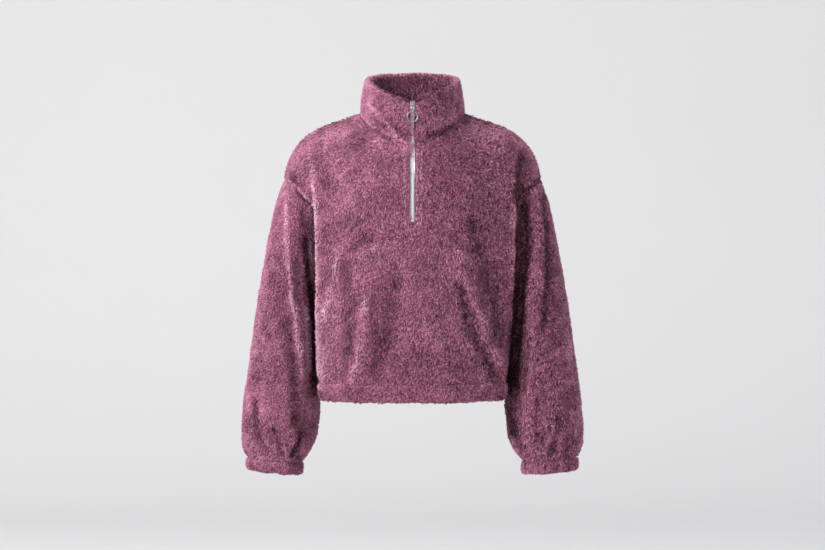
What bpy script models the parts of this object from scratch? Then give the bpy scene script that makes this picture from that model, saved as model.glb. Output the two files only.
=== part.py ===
"""Cropped quarter-zip fleece top, hollow and filled out as if it were worn, with its arms hanging.

Metres, +Z up, the front faces -Y and the wearer's left is +X. The origin lies on the centre plane,
level with the two points where the collar seam meets the shoulder seams.
Each table below has named columns and one row for each section, line point or fold. The tables give
the outer face of the pile, on the +X side; the -X side is its mirror image.
"""

import math

import bmesh
import bpy
import numpy as np
from mathutils import Matrix, Vector

# Cloth and seams
WALL = 0.005  # knitted ground and pile together
COLLAR_WALL = 0.012  # two layers of the fleece
SEAM_GAP = 0.0004
LONGEST_MITRE = 1.5

# Zip: half widths across, then depths measured in from the face of the pile
SLOT_HALF = 0.0043
TAPE_INNER, TAPE_OUTER, TAPE_IN_COLLAR = 0.0006, 0.0145, 0.0039
TAPE_FRONT, TAPE_BACK = 0.0057, 0.0065
TEETH_INNER, TEETH_OUTER = 0.00015, 0.0021
TEETH_FRONT, TEETH_BACK = 0.0029, 0.0051
ZIP_BELOW_SLOT = 0.009
ZIP_TOP = 0.0125
WIDE_TAPE_TOP = -0.078  # above this the tape is as narrow as the slot
TACK_HALF, TACK_HEIGHT = 0.0039, 0.0045
TACK_FRONT, TACK_BACK = 0.0008, 0.0024

# Slider, pull link and ring
SLIDER_HALF, SLIDER_LOW, SLIDER_HIGH = 0.0039, 0.0048, 0.0200
SLIDER_FRONT, SLIDER_BACK = 0.0011, 0.0084
CHANNEL_HALF, CHANNEL_HIGH, CHANNEL_FRONT, CHANNEL_BACK = 0.0025, 0.0135, 0.0021, 0.0073
TAPE_SLIT_FRONT = 0.0049
BRIDGE_LOW, BRIDGE_HIGH, BRIDGE_RISE, BRIDGE_RADIUS = 0.0078, 0.0175, 0.0030, 0.0007
BRIDGE_STEPS, BRIDGE_POWER, BRIDGE_SUNK = 8, 0.6, 0.0003
LINK_EYE, LINK_WIRE, LINK_DEPTH = 0.0019, 0.0005, 0.0002
RING_EYE, RING_EYE_WIRE = 0.0021, 0.0006
RING_RADIUS, RING_WIRE = 0.00925, 0.001
RING_TOP, RING_DEPTH = 0.0020, -0.0024

# Steps between neighbouring rows of the nets, from the hem seam to the top edge
ROW_SPANS = (2, 3, 3, 3, 3, 3, 2, 3)
UNDERARM_SPAN = 4  # the rows from here up lie along the armhole
FRONT_SPANS = (1, 3, 3, 4, 2, 2, 2)
BACK_SPANS = (4, 4, 4, 3, 3)
SHOULDER_STEPS = 10
SLEEVE_SPANS = (2, 2, 2, 2, 2, 2, 2, 2, 1, 1)

# Front rows: zip edge, tape edge, chest, neck line, front fold, under the fold, cap, each (x, y, z)
FRONT_NET = (
    # hem seam
    ((0.0043, -0.117, -0.479), (0.015, -0.117, -0.479), (0.052, -0.115, -0.479),
     (0.100, -0.105, -0.479), (0.167, -0.060, -0.479), (0.159, -0.030, -0.479),
     (0.150, -0.006, -0.479), (0.146, 0.018, -0.479)),
    # above the hem
    ((0.0043, -0.122, -0.440), (0.015, -0.122, -0.440), (0.054, -0.120, -0.440),
     (0.103, -0.110, -0.440), (0.173, -0.062, -0.440), (0.162, -0.032, -0.440),
     (0.153, -0.006, -0.440), (0.149, 0.015, -0.440)),
    # waist
    ((0.0043, -0.124, -0.360), (0.015, -0.124, -0.360), (0.054, -0.122, -0.360),
     (0.104, -0.112, -0.360), (0.1735, -0.065, -0.360), (0.163, -0.034, -0.360),
     (0.154, -0.009, -0.360), (0.149, 0.012, -0.360)),
    # chest
    ((0.0043, -0.126, -0.280), (0.015, -0.126, -0.280), (0.054, -0.124, -0.280),
     (0.104, -0.114, -0.280), (0.172, -0.069, -0.280), (0.164, -0.040, -0.280),
     (0.155, -0.014, -0.280), (0.150, 0.008, -0.280)),
    # foot of the zip and underarm
    ((0.0043, -0.126, -0.1955), (0.015, -0.126, -0.1955), (0.054, -0.124, -0.196),
     (0.104, -0.114, -0.197), (0.1725, -0.073, -0.200), (0.169, -0.050, -0.203),
     (0.162, -0.022, -0.205), (0.159, 0.004, -0.206)),
    # low on the armhole
    ((0.0043, -0.123, -0.153), (0.015, -0.123, -0.153), (0.054, -0.121, -0.153),
     (0.104, -0.112, -0.153), (0.1745, -0.078, -0.158), (0.175, -0.066, -0.163),
     (0.175, -0.058, -0.168), (0.1745, -0.050, -0.173)),
    # high on the armhole
    ((0.0043, -0.117, -0.114), (0.015, -0.117, -0.114), (0.054, -0.114, -0.112),
     (0.103, -0.105, -0.110), (0.1755, -0.077, -0.112), (0.184, -0.071, -0.122),
     (0.190, -0.067, -0.134), (0.193, -0.061, -0.150)),
    # collar bone
    ((0.0043, -0.105, -0.079), (0.015, -0.105, -0.078), (0.052, -0.098, -0.070),
     (0.098, -0.070, -0.050), (0.163, -0.058, -0.058), (0.192, -0.052, -0.079),
     (0.208, -0.049, -0.103), (0.2145, -0.042, -0.1275)),
    # neck seam and shoulder seam
    ((0.0043, -0.091, -0.047), (0.015, -0.0905, -0.047), (0.057, -0.0735, -0.0375),
     (0.096, 0.005, 0.000), (0.146, 0.008, -0.0165), (0.183, 0.007, -0.033),
     (0.212, 0.004, -0.064), (0.231, 0.000, -0.116)),
)

# Back rows, level with the front's: centre, shoulder blade, neck line, back fold, under it, edge
BACK_NET = (
    # hem seam
    ((0.000, 0.112, -0.479), (0.055, 0.110, -0.479), (0.100, 0.099, -0.479),
     (0.160, 0.062, -0.479), (0.153, 0.038, -0.479), (0.146, 0.018, -0.479)),
    # above the hem
    ((0.000, 0.117, -0.440), (0.055, 0.115, -0.440), (0.101, 0.104, -0.440),
     (0.164, 0.065, -0.440), (0.156, 0.038, -0.440), (0.149, 0.015, -0.440)),
    # waist
    ((0.000, 0.113, -0.360), (0.055, 0.112, -0.360), (0.101, 0.103, -0.360),
     (0.165, 0.066, -0.360), (0.157, 0.037, -0.360), (0.149, 0.012, -0.360)),
    # chest
    ((0.000, 0.113, -0.280), (0.056, 0.113, -0.280), (0.102, 0.104, -0.280),
     (0.166, 0.068, -0.280), (0.158, 0.036, -0.280), (0.150, 0.008, -0.280)),
    # underarm
    ((0.000, 0.118, -0.196), (0.057, 0.118, -0.196), (0.104, 0.108, -0.197),
     (0.168, 0.074, -0.201), (0.165, 0.038, -0.205), (0.159, 0.004, -0.206)),
    # low on the armhole
    ((0.000, 0.119, -0.152), (0.057, 0.119, -0.152), (0.104, 0.110, -0.153),
     (0.170, 0.080, -0.160), (0.174, 0.066, -0.168), (0.175, 0.055, -0.174)),
    # high on the armhole
    ((0.000, 0.115, -0.105), (0.057, 0.114, -0.104), (0.104, 0.106, -0.104),
     (0.173, 0.084, -0.115), (0.187, 0.078, -0.131), (0.193, 0.072, -0.148)),
    # shoulder blade top
    ((0.000, 0.100, -0.052), (0.055, 0.095, -0.050), (0.099, 0.079, -0.045),
     (0.164, 0.063, -0.058), (0.197, 0.057, -0.088), (0.2145, 0.048, -0.1275)),
    # neck seam and shoulder seam
    ((0.000, 0.076, 0.012), (0.060, 0.060, 0.010), (0.096, 0.005, 0.000),
     (0.164, 0.008, -0.024), (0.206, 0.005, -0.054), (0.231, 0.000, -0.116)),
)

# Seam lines, each point (x, y, z)
SIDE_SEAM = (
    (0.146, 0.018, -0.479), (0.149, 0.015, -0.440), (0.149, 0.012, -0.360),
    (0.150, 0.008, -0.280), (0.159, 0.004, -0.206),
)
FRONT_ARMHOLE = (
    (0.159, 0.004, -0.206), (0.1745, -0.050, -0.173), (0.193, -0.061, -0.150),
    (0.2145, -0.042, -0.1275), (0.231, 0.000, -0.116),
)
BACK_ARMHOLE = (
    (0.159, 0.004, -0.206), (0.175, 0.055, -0.174), (0.193, 0.072, -0.148),
    (0.2145, 0.048, -0.1275), (0.231, 0.000, -0.116),
)
SHOULDER_SEAM = (
    (0.096, 0.005, 0.000), (0.114, 0.008, -0.0070), (0.146, 0.008, -0.0180),
    (0.172, 0.008, -0.0285), (0.195, 0.006, -0.0420), (0.212, 0.004, -0.063),
    (0.2265, 0.002, -0.093), (0.231, 0.000, -0.116),
)
FRONT_NECKLINE = (
    (0.0043, -0.091, -0.047), (0.032, -0.0865, -0.0455), (0.059, -0.072, -0.0365),
    (0.083, -0.041, -0.0185), (0.096, 0.005, 0.000),
)
BACK_NECKLINE = (
    (0.000, 0.076, 0.012), (0.030, 0.073, 0.0115), (0.060, 0.060, 0.009),
    (0.084, 0.034, 0.004), (0.096, 0.005, 0.000),
)

# How much farther out the front fold stands on the wearer's left: height, distance
LEFT_FOLD_OUT = (
    (-0.500, 0.000), (-0.450, 0.000), (-0.370, 0.005), (-0.245, 0.010), (-0.220, 0.011),
    (-0.120, 0.0095), (-0.095, 0.008), (-0.050, 0.006), (0.000, 0.000),
)
FOLD_REACH = 4  # columns to each side of the fold that take part

# Sleeve rings: outer x and z, inner x and z, front y, back y
SLEEVE_RINGS = (
    (0.2310, -0.116, 0.159, -0.206, -0.061, 0.072),
    (0.2435, -0.150, 0.163, -0.228, -0.063, 0.075),
    (0.2535, -0.192, 0.165, -0.252, -0.063, 0.077),
    (0.2665, -0.260, 0.166, -0.296, -0.062, 0.079),
    (0.2810, -0.342, 0.166, -0.362, -0.060, 0.080),
    (0.2935, -0.432, 0.165, -0.442, -0.060, 0.078),
    (0.3035, -0.500, 0.164, -0.506, -0.063, 0.072),
    (0.3085, -0.550, 0.167, -0.556, -0.063, 0.062),
    (0.3090, -0.582, 0.172, -0.588, -0.058, 0.050),
    (0.3045, -0.604, 0.182, -0.610, -0.050, 0.040),
    (0.2975, -0.6185, 0.197, -0.6265, -0.042, 0.028),
)
LOOP_RINGS = 2  # over these first rings the tilted armhole loop turns into plain ovals
OVAL_POWER = 0.9  # below 1 the ovals are a little squarer across

# Gathers into the cuff: rings above the cuff seam, rise of every other column
GATHERS = ((0, 0.0014), (1, 0.0028), (2, 0.0022), (3, 0.0010))

# Collar, outer face where the rolled rim begins, from the zip round to the centre back
COLLAR_RIM = (
    (0.0043, -0.093, 0.0145), (0.0105, -0.093, 0.0200), (0.026, -0.0905, 0.0225),
    (0.0460, -0.0805, 0.0285), (0.0660, -0.058, 0.0385), (0.0800, -0.030, 0.0470),
    (0.0865, 0.000, 0.0525), (0.080, 0.0435, 0.0605), (0.046, 0.069, 0.0645),
    (0.000, 0.0775, 0.0660),
)
COLLAR_RISE = (0.0, 0.12, 0.34, 0.56, 0.78, 1.0)  # shares of the height from seam to rim
COLLAR_BELLY = 0.002
COLLAR_FULL_AT = 0.2  # the share of the height at which the second layer has its whole thickness
ROLL_STEPS = 5

# Hem and cuff casings: distance out from the seam, distance down
HEM_PROFILE = (
    (0.0000, 0.000), (0.0030, 0.005), (0.0042, 0.014), (0.0034, 0.023), (0.0010, 0.030),
    (-0.0030, 0.033), (-0.0072, 0.0315), (-0.0090, 0.024), (-0.0088, 0.011), (-0.0050, 0.000),
)
CUFF_PROFILE = (
    (0.0000, 0.000), (0.0028, 0.004), (0.0038, 0.011), (0.0026, 0.018), (-0.0010, 0.0235),
    (-0.0050, 0.0250), (-0.0090, 0.0225), (-0.0105, 0.016), (-0.0095, 0.007), (-0.0050, 0.000),
)

# Folds, seen from the front or back: start (x, z), end (x, z), half width, rise. A trough is minus.
FRONT_FOLDS = (
    ((-0.135, -0.262), (-0.157, -0.356), 0.026, 0.0050),
    ((-0.112, -0.270), (-0.128, -0.350), 0.028, -0.0040),
    ((-0.082, -0.340), (-0.104, -0.470), 0.030, 0.0050),
    ((-0.128, -0.400), (-0.130, -0.475), 0.026, -0.0035),
    ((-0.163, -0.430), (-0.146, -0.478), 0.024, 0.0030),
    ((0.055, -0.300), (0.130, -0.468), 0.030, -0.0055),
    ((0.091, -0.290), (0.156, -0.460), 0.026, 0.0055),
    ((0.118, -0.290), (0.160, -0.420), 0.024, -0.0035),
    ((0.030, -0.330), (0.062, -0.470), 0.032, 0.0035),
)
BACK_FOLDS = (
    ((-0.080, -0.250), (-0.130, -0.440), 0.034, 0.0050),
    ((0.075, -0.230), (0.120, -0.450), 0.034, 0.0050),
    ((-0.030, -0.300), (-0.050, -0.470), 0.036, -0.0040),
    ((0.030, -0.310), (0.052, -0.470), 0.036, -0.0040),
    ((0.000, -0.330), (0.004, -0.475), 0.030, 0.0035),
)
SLEEVE_FRONT_FOLDS = (
    ((0.226, -0.150), (0.219, -0.310), 0.026, 0.0045),
    ((0.219, -0.310), (0.203, -0.400), 0.028, 0.0045),
    ((0.252, -0.420), (0.262, -0.560), 0.030, 0.0035),
    ((0.212, -0.460), (0.218, -0.590), 0.030, 0.0040),
    ((0.236, -0.470), (0.240, -0.600), 0.026, -0.0040),
)
SLEEVE_BACK_FOLDS = (
    ((0.215, -0.190), (0.228, -0.360), 0.030, 0.0040),
    ((0.236, -0.420), (0.246, -0.590), 0.030, 0.0040),
    ((0.204, -0.380), (0.214, -0.560), 0.030, -0.0035),
)
COLLAR_FOLDS = (
    ((-0.077, 0.018), (-0.029, -0.040), 0.020, 0.0022),
    ((0.066, 0.016), (0.040, -0.030), 0.022, 0.0015),
)

# Cloth and metal colours, linear
FLEECE_COLOUR = (0.300, 0.105, 0.165)
TAPE_COLOUR = (0.720, 0.640, 0.680)
TEETH_COLOUR = (0.560, 0.520, 0.540)
METAL_COLOUR = (0.560, 0.540, 0.520)
TACK_COLOUR = (0.260, 0.022, 0.070)


def smooth_curve(points, spans):
    """Points on a smooth curve through the given points, with spans[i] steps from point i on."""
    points = np.asarray(points, float)
    steps = np.linalg.norm(np.diff(points, axis=0), axis=1, keepdims=True) ** 0.5
    slopes = np.diff(points, axis=0) / steps
    inner = (slopes[:-1] * steps[1:] + slopes[1:] * steps[:-1]) / (steps[:-1] + steps[1:])
    tangents = np.vstack([slopes[:1], inner, slopes[-1:]])
    pieces = [points[:1]]
    for i, count in enumerate(spans):
        t = np.linspace(0, 1, count + 1)[1:, None]
        start, end = points[i], points[i + 1]
        bend_in, bend_out = tangents[i] * steps[i], tangents[i + 1] * steps[i]
        pieces.append(
            (1 + 2 * t) * (1 - t) ** 2 * start
            + t * (1 - t) ** 2 * bend_in
            + t * t * (3 - 2 * t) * end
            + t * t * (t - 1) * bend_out
        )
    return np.vstack(pieces)


def shares_along(line):
    """How far along a line each of its points is, from 0 to 1."""
    lengths = np.concatenate([[0], np.cumsum(np.linalg.norm(np.diff(line, axis=0), axis=1))])
    return lengths / lengths[-1]


def points_at(line, shares):
    """The points at the given shares of a smooth line through a few points."""
    fine = smooth_curve(line, [24] * (len(line) - 1))
    along = shares_along(fine)
    return np.stack([np.interp(shares, along, fine[:, k]) for k in range(3)], axis=1)


def smooth_sheet(net, row_spans, column_spans):
    """A grid of points on a smooth sheet through a net of control points."""
    net = np.asarray(net, float)
    lines = [smooth_curve(net[:, c], row_spans) for c in range(net.shape[1])]
    rows = np.stack(lines, axis=1)
    return np.stack([smooth_curve(row, column_spans) for row in rows])


def ease(t):
    """A smooth ramp from 0 to 1."""
    t = np.clip(t, 0, 1)
    return t * t * (3 - 2 * t)


def pull_last_column(grid, target, reach):
    """Moves the last column onto target, and the reach columns before it in part."""
    shift = target - grid[:, -1]
    for c in range(grid.shape[1]):
        grid[:, c] += shift * ease(1 - (grid.shape[1] - 1 - c) / reach)


def pull_last_row(grid, target, reach):
    """Moves the last row onto target, and the reach rows before it in part."""
    shift = target - grid[-1]
    for r in range(grid.shape[0]):
        grid[r] += shift * ease(1 - (grid.shape[0] - 1 - r) / reach)


def mirrored(points):
    """The same points on the other side of the centre plane."""
    return points * np.array([-1.0, 1.0, 1.0])


def half_panel(net, column_spans, armhole, neckline):
    """One half of the front or the back, from its centre out to the side seam and armhole."""
    grid = smooth_sheet(net, ROW_SPANS, column_spans)
    side = smooth_curve(SIDE_SEAM, ROW_SPANS[:UNDERARM_SPAN])
    arm = smooth_curve(armhole, ROW_SPANS[UNDERARM_SPAN:])
    pull_last_column(grid, np.vstack([side, arm[1:]]), reach=4)
    neck_columns = grid.shape[1] - 1 - SHOULDER_STEPS
    neck = points_at(neckline, shares_along(grid[-1, : neck_columns + 1]))
    shoulder = points_at(SHOULDER_SEAM, np.linspace(0, 1, SHOULDER_STEPS + 1))
    pull_last_row(grid, np.vstack([neck, shoulder[1:]]), reach=6)
    return grid


def with_fuller_fold(half):
    """The front half with its fold farther out, as it is on the wearer's left."""
    table = np.asarray(LEFT_FOLD_OUT)
    fold = sum(FRONT_SPANS[:4])
    below_top = ease((len(half) - 1 - np.arange(len(half))) / FOLD_REACH)
    result = half.copy()
    for c in range(half.shape[1]):
        weight = ease(1 - abs(c - fold) / FOLD_REACH) * below_top
        result[:, c, 0] += weight * np.interp(half[:, c, 2], table[:, 0], table[:, 1])
    return result


def sleeve_rings(front, back):
    """Rings down the wearer's left sleeve, from the armhole to the cuff seam.

    Each ring starts at the underarm and runs round the front, the outside and the back.
    """
    low = sum(ROW_SPANS[:UNDERARM_SPAN])
    front_edge, back_edge = front[low:, -1], back[low:, -1][::-1]
    loop = np.vstack([front_edge, back_edge[1:-1]])
    turn = np.concatenate([
        math.pi * (1 - shares_along(front_edge)),
        -math.pi * shares_along(back_edge)[1:-1],
    ])
    across = np.sign(np.cos(turn)) * np.abs(np.cos(turn)) ** OVAL_POWER
    places = smooth_curve(np.c_[np.arange(len(SLEEVE_RINGS)), SLEEVE_RINGS], SLEEVE_SPANS)
    grid = [loop]
    for place, outer_x, outer_z, inner_x, inner_z, front_y, back_y in places[1:]:
        ring = np.stack([
            (outer_x + inner_x) / 2 + (outer_x - inner_x) / 2 * across,
            (front_y + back_y) / 2 - (back_y - front_y) / 2 * np.sin(turn),
            (outer_z + inner_z) / 2 + (outer_z - inner_z) / 2 * across,
        ], axis=1)
        moved_loop = loop + ring.mean(axis=0) - loop.mean(axis=0)
        grid.append(moved_loop + (ring - moved_loop) * ease(place / LOOP_RINGS))
    return with_gathers(np.stack(grid))


def with_gathers(rings):
    """The rings with every other column raised near the cuff and the rest sunk."""
    result = rings.copy()
    parity = np.where(np.arange(rings.shape[1]) % 2, 1.0, -1.0)[:, None]
    for above, rise in GATHERS:
        ring = rings[len(rings) - 1 - above]
        away = (ring - ring.mean(axis=0)) * [1, 1, 0]
        away /= np.linalg.norm(away, axis=1, keepdims=True)
        result[len(rings) - 1 - above] += away * parity * rise
    return result


def angle_round(points):
    """The angle of each point round the neck, from the front by way of the wearer's left."""
    return np.degrees(np.arctan2(points[:, 0], -points[:, 1])) % 360


def collar_grid(base):
    """Rows up the collar's outer face, from the neck seam points in base to the rolled rim.

    The stations of base run from the zip on the wearer's left round the back to the other zip edge.
    """
    rim = np.asarray(COLLAR_RIM)
    round_rim = np.vstack([rim, mirrored(rim)[::-1][1:]])
    fine = smooth_curve(round_rim, [16] * (len(round_rim) - 1))
    share = angle_round(base)
    share = (share - share[0]) / (share[-1] - share[0])
    fine_share = angle_round(fine)
    fine_share = (fine_share - fine_share[0]) / (fine_share[-1] - fine_share[0])
    top = np.stack([np.interp(share, fine_share, fine[:, k]) for k in range(3)], axis=1)
    outward = top * [1, 1, 0]
    outward /= np.linalg.norm(outward, axis=1, keepdims=True)
    outward[[0, -1]] = [0, -1, 0]
    swell = COLLAR_BELLY * np.sin(np.pi * np.asarray(COLLAR_RISE))
    return np.stack([base + (top - base) * rise + outward * out
                     for rise, out in zip(COLLAR_RISE, swell)])


def point_key(point):
    return tuple(np.round(point * 1e6).astype(int))


def shared_normals(grids):
    """Outward normals at every grid point. Points on a seam get the mean over all their panels.

    A normal is a little longer than 1 where the cloth bends, so that the wall keeps its thickness.
    """
    sums, counts = {}, {}
    for grid, wraps in grids:
        ring = np.concatenate([grid, grid[:, :1]], axis=1) if wraps else grid
        a, b, c, d = ring[:-1, :-1], ring[:-1, 1:], ring[1:, 1:], ring[1:, :-1]
        faces = np.cross(c - a, d - b)
        faces /= np.linalg.norm(faces, axis=2, keepdims=True)
        for corner in (a, b, c, d):
            for point, face in zip(corner.reshape(-1, 3), faces.reshape(-1, 3)):
                key = point_key(point)
                sums[key] = sums.get(key, 0) + face
                counts[key] = counts.get(key, 0) + 1
    result = []
    for grid, _ in grids:
        keys = [point_key(point) for point in grid.reshape(-1, 3)]
        normals = np.array([sums[key] / counts[key] for key in keys])
        flatness = np.linalg.norm(normals, axis=1, keepdims=True)
        normals /= flatness * np.maximum(flatness, 1 / LONGEST_MITRE)
        result.append(normals.reshape(grid.shape))
    return result


def fold_rise(points, facing, folds):
    """How far the folds lift each point that faces their way."""
    rise = np.zeros(points.shape[:-1])
    flat = points[..., [0, 2]]
    for start, end, width, height in folds:
        start, along = np.array(start), np.array(end) - np.array(start)
        t = np.clip(((flat - start) @ along) / (along @ along), 0, 1)
        away = np.linalg.norm(flat - start - t[..., None] * along, axis=-1) / width
        rise += height * np.clip(1 - away**2, 0, 1) ** 2
    return rise * ease(facing * 1.6)


def folded(grid, normals, front_folds, back_folds, still):
    """The grid with its folds raised. still picks the points that stay where they are."""
    rise = fold_rise(grid, -normals[..., 1], front_folds)
    rise += fold_rise(grid, normals[..., 1], back_folds)
    for rows, columns in still:
        rise[rows, columns] = 0
    return grid + normals * rise[..., None]


def mirrored_folds(folds):
    return tuple(((-a, b), (-c, d), width, rise) for (a, b), (c, d), width, rise in folds)


def drawn_in(grid, normals, edges):
    """The grid with the named edges drawn back by half a seam gap, square to the seam."""
    result = grid.copy()
    turns = {
        "first_row": lambda a: a,
        "last_row": lambda a: a[::-1],
        "first_column": lambda a: a.swapaxes(0, 1),
        "last_column": lambda a: a.swapaxes(0, 1)[::-1],
    }
    for edge in edges:
        turned, out, moved = (turns[edge](a) for a in (grid, normals, result))
        along = np.gradient(turned[0], axis=0)
        along /= np.linalg.norm(along, axis=1, keepdims=True)
        out = out[0] / np.linalg.norm(out[0], axis=1, keepdims=True)
        back = turned[1] - turned[0]
        back -= (back * along).sum(1, keepdims=True) * along
        back -= (back * out).sum(1, keepdims=True) * out
        moved[0] += back / np.linalg.norm(back, axis=1, keepdims=True) * SEAM_GAP / 2
    return result


def casing_loops(outer_edge, inner_edge, profile):
    """Closed loops round a hem or cuff casing, one at each point of the seam above it."""
    loops = []
    down = np.array([0, 0, -1.0])
    for outer, inner in zip(outer_edge, inner_edge):
        out = (outer - inner) / np.linalg.norm(outer - inner)
        loop = [outer + out * away + down * drop for away, drop in profile]
        loop[-1] = inner
        loops.append([point + down * SEAM_GAP / 2 for point in loop])
    return loops


def new_material(name, colour, roughness, metallic=0.0):
    material = bpy.data.materials.new(name)
    material.use_nodes = True
    shader = material.node_tree.nodes["Principled BSDF"]
    shader.inputs["Base Color"].default_value = (*colour, 1)
    shader.inputs["Roughness"].default_value = roughness
    shader.inputs["Metallic"].default_value = metallic
    return material


def add_object(name, mesh, material, collection):
    mesh.materials.clear()
    mesh.materials.append(material)
    item = bpy.data.objects.new(name, mesh)
    collection.objects.link(item)
    return item


def add_seam_face(work, a, b, partner):
    """Two triangles between an outer edge and its inner partner, cut from the edge's lower end."""
    low, high = sorted((a, b), key=lambda vert: (vert.co.z, vert.co.y, vert.co.x))
    work.faces.new((low, high, partner[high]))
    work.faces.new((low, partner[high], partner[low]))


def cloth_wall(name, outer, inner, material, collection, missing=(), wraps=False):
    """A closed wall between two grids. missing holds the cells (row, column) that it leaves out.

    Rims are split so that two pieces that meet at a seam get the same diagonals.
    """
    rows, columns = outer.shape[:2]
    work = bmesh.new()
    skins = [[[work.verts.new(point) for point in row] for row in grid] for grid in (outer, inner)]
    partner = {a: b for ra, rb in zip(*skins) for a, b in zip(ra, rb)}
    for r in range(rows - 1):
        for c in range(columns if wraps else columns - 1):
            if (r, c) in missing:
                continue
            d = (c + 1) % columns
            for skin in skins:
                work.faces.new((skin[r][c], skin[r][d], skin[r + 1][d], skin[r + 1][c]))
    rim = [edge for edge in work.edges if edge.is_boundary and edge.verts[0] in partner]
    for edge in rim:
        add_seam_face(work, *edge.verts, partner)
    loose = [vert for vert in work.verts if not vert.link_faces]
    bmesh.ops.delete(work, geom=loose, context="VERTS")
    bmesh.ops.recalc_face_normals(work, faces=work.faces)
    mesh = bpy.data.meshes.new(name)
    work.to_mesh(mesh)
    work.free()
    mesh.shade_smooth()
    return add_object(name, mesh, material, collection)


def loop_loft(name, loops, material, collection, closed):
    """A solid lofted through closed loops of points. closed joins the last loop to the first.

    The strip from each loop's last point back to its first is the seam face.
    """
    work = bmesh.new()
    rings = [[work.verts.new(point) for point in loop] for loop in loops]
    count = len(rings[0])
    pairs = list(zip(rings, rings[1:] + rings[:1] if closed else rings[1:]))
    for ring, following in pairs:
        for i in range(count - 1):
            work.faces.new((ring[i], ring[i + 1], following[i + 1], following[i]))
        partner = {ring[0]: ring[-1], following[0]: following[-1]}
        add_seam_face(work, ring[0], following[0], partner)
    if not closed:
        for ring in (rings[0], rings[-1]):
            work.faces.new(ring)
    bmesh.ops.recalc_face_normals(work, faces=work.faces)
    mesh = bpy.data.meshes.new(name)
    work.to_mesh(mesh)
    work.free()
    mesh.shade_smooth()
    return add_object(name, mesh, material, collection)


def wall_loops(outer, inner, roll_steps):
    """Closed loops up a wall's outer face, over a round rim and down its inner face."""
    loops = []
    for s in range(outer.shape[1]):
        up_outer, up_inner = outer[:, s], inner[:, s]
        across = up_outer[-1] - up_inner[-1]
        middle, radius = (up_outer[-1] + up_inner[-1]) / 2, np.linalg.norm(across) / 2
        across /= np.linalg.norm(across)
        up = up_outer[-1] - up_outer[-2]
        up -= (up @ across) * across
        up /= np.linalg.norm(up)
        angles = np.linspace(0, math.pi, roll_steps + 1)[1:-1]
        roll = [middle + radius * (math.cos(a) * across + math.sin(a) * up) for a in angles]
        loops.append([*up_outer, *roll, *up_inner[::-1]])
    return loops


def zip_path(front, collar):
    """The zip's line on the face of the pile, as (y, z) points from below the slot to the rim."""
    foot = sum(ROW_SPANS[:UNDERARM_SPAN])
    line = np.vstack([front[foot:, front.shape[1] // 2], collar[1:, 0]])[:, 1:]
    start = line[0] + [0, -ZIP_BELOW_SLOT]
    return np.vstack([start, line])


def path_frames(path):
    """Points and inward directions along the zip's path, cut off level with the top of the zip."""
    tangents = np.gradient(path, axis=0)
    tangents /= np.linalg.norm(tangents, axis=1, keepdims=True)
    inward = np.stack([tangents[:, 1], -tangents[:, 0]], axis=1)
    last = int(np.searchsorted(path[:, 1], ZIP_TOP))
    share = (ZIP_TOP - path[last - 1, 1]) / (path[last, 1] - path[last - 1, 1])
    top = path[last - 1] + (path[last] - path[last - 1]) * share
    return np.vstack([path[:last], top]), np.vstack([inward[:last], inward[last]])


def strip_loops(frames, side, halves, front, back):
    """Closed loops of a flat strip along the zip, on one side (1 or -1). halves gives its edges."""
    loops = []
    for point, inward, (near, far) in zip(*frames, halves):
        corners = ((near, front), (far, front), (far, back), (near, back))
        loops.append([(side * x, *(point + inward * depth)) for x, depth in corners])
    return loops


def with_step(frames, height):
    """The frames with two more, close together, at the given height, and the index of the second."""
    points, inward = frames
    after = int(np.searchsorted(points[:, 1], height))
    share = (height - points[after - 1, 1]) / (points[after, 1] - points[after - 1, 1])
    pair = [points[after - 1] + (points[after] - points[after - 1]) * s
            for s in (share, share + 0.05)]
    turned = [inward[after - 1] * (1 - share) + inward[after] * share] * 2
    points = np.vstack([points[:after], pair, points[after:]])
    inward = np.vstack([inward[:after], turned, inward[after:]])
    return (points, inward), after + 1


def add_tapes(frames, material, collection):
    """Both tapes: wide behind the front, then as narrow as the slot."""
    frames, first_narrow = with_step(frames, WIDE_TAPE_TOP)
    wide = [(TAPE_INNER, TAPE_OUTER)] * first_narrow
    narrow = [(TAPE_INNER, TAPE_IN_COLLAR)] * (len(frames[0]) - first_narrow)
    for name, side in (("zip_tape_left", 1), ("zip_tape_right", -1)):
        loops = strip_loops(frames, side, wide + narrow, TAPE_FRONT, TAPE_BACK)
        loop_loft(name, loops, material, collection, closed=False)


def add_teeth(frames, material, collection):
    """The two rows of teeth, closed from the foot of the slot up into the slider."""
    points, inward = (rows[1:].copy() for rows in frames)
    points[0, 1] += SEAM_GAP
    frames = points, inward
    halves = [(TEETH_INNER, TEETH_OUTER)] * len(frames[0])
    for name, side in (("zip_teeth_left", 1), ("zip_teeth_right", -1)):
        loops = strip_loops(frames, side, halves, TEETH_FRONT, TEETH_BACK)
        loop_loft(name, loops, material, collection, closed=False)


def new_box(name, low, high, collection, material=None):
    """A box between two corners."""
    work = bmesh.new()
    bmesh.ops.create_cube(work, size=1)
    low, high = Vector(low), Vector(high)
    for vert in work.verts:
        vert.co = Vector(low[k] + (high[k] - low[k]) * (vert.co[k] + 0.5) for k in range(3))
    mesh = bpy.data.meshes.new(name)
    work.to_mesh(mesh)
    work.free()
    item = bpy.data.objects.new(name, mesh)
    if material:
        mesh.materials.append(material)
    collection.objects.link(item)
    return item


def cut_or_join(item, other, operation):
    """Applies an exact Boolean with a helper object."""
    modifier = item.modifiers.new(other.name, "BOOLEAN")
    modifier.operation = operation
    modifier.solver = "EXACT"
    modifier.object = other


def add_bevel(item, width, segments):
    modifier = item.modifiers.new("bevel", "BEVEL")
    modifier.width = width
    modifier.segments = segments
    modifier.limit_method = "ANGLE"


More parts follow.
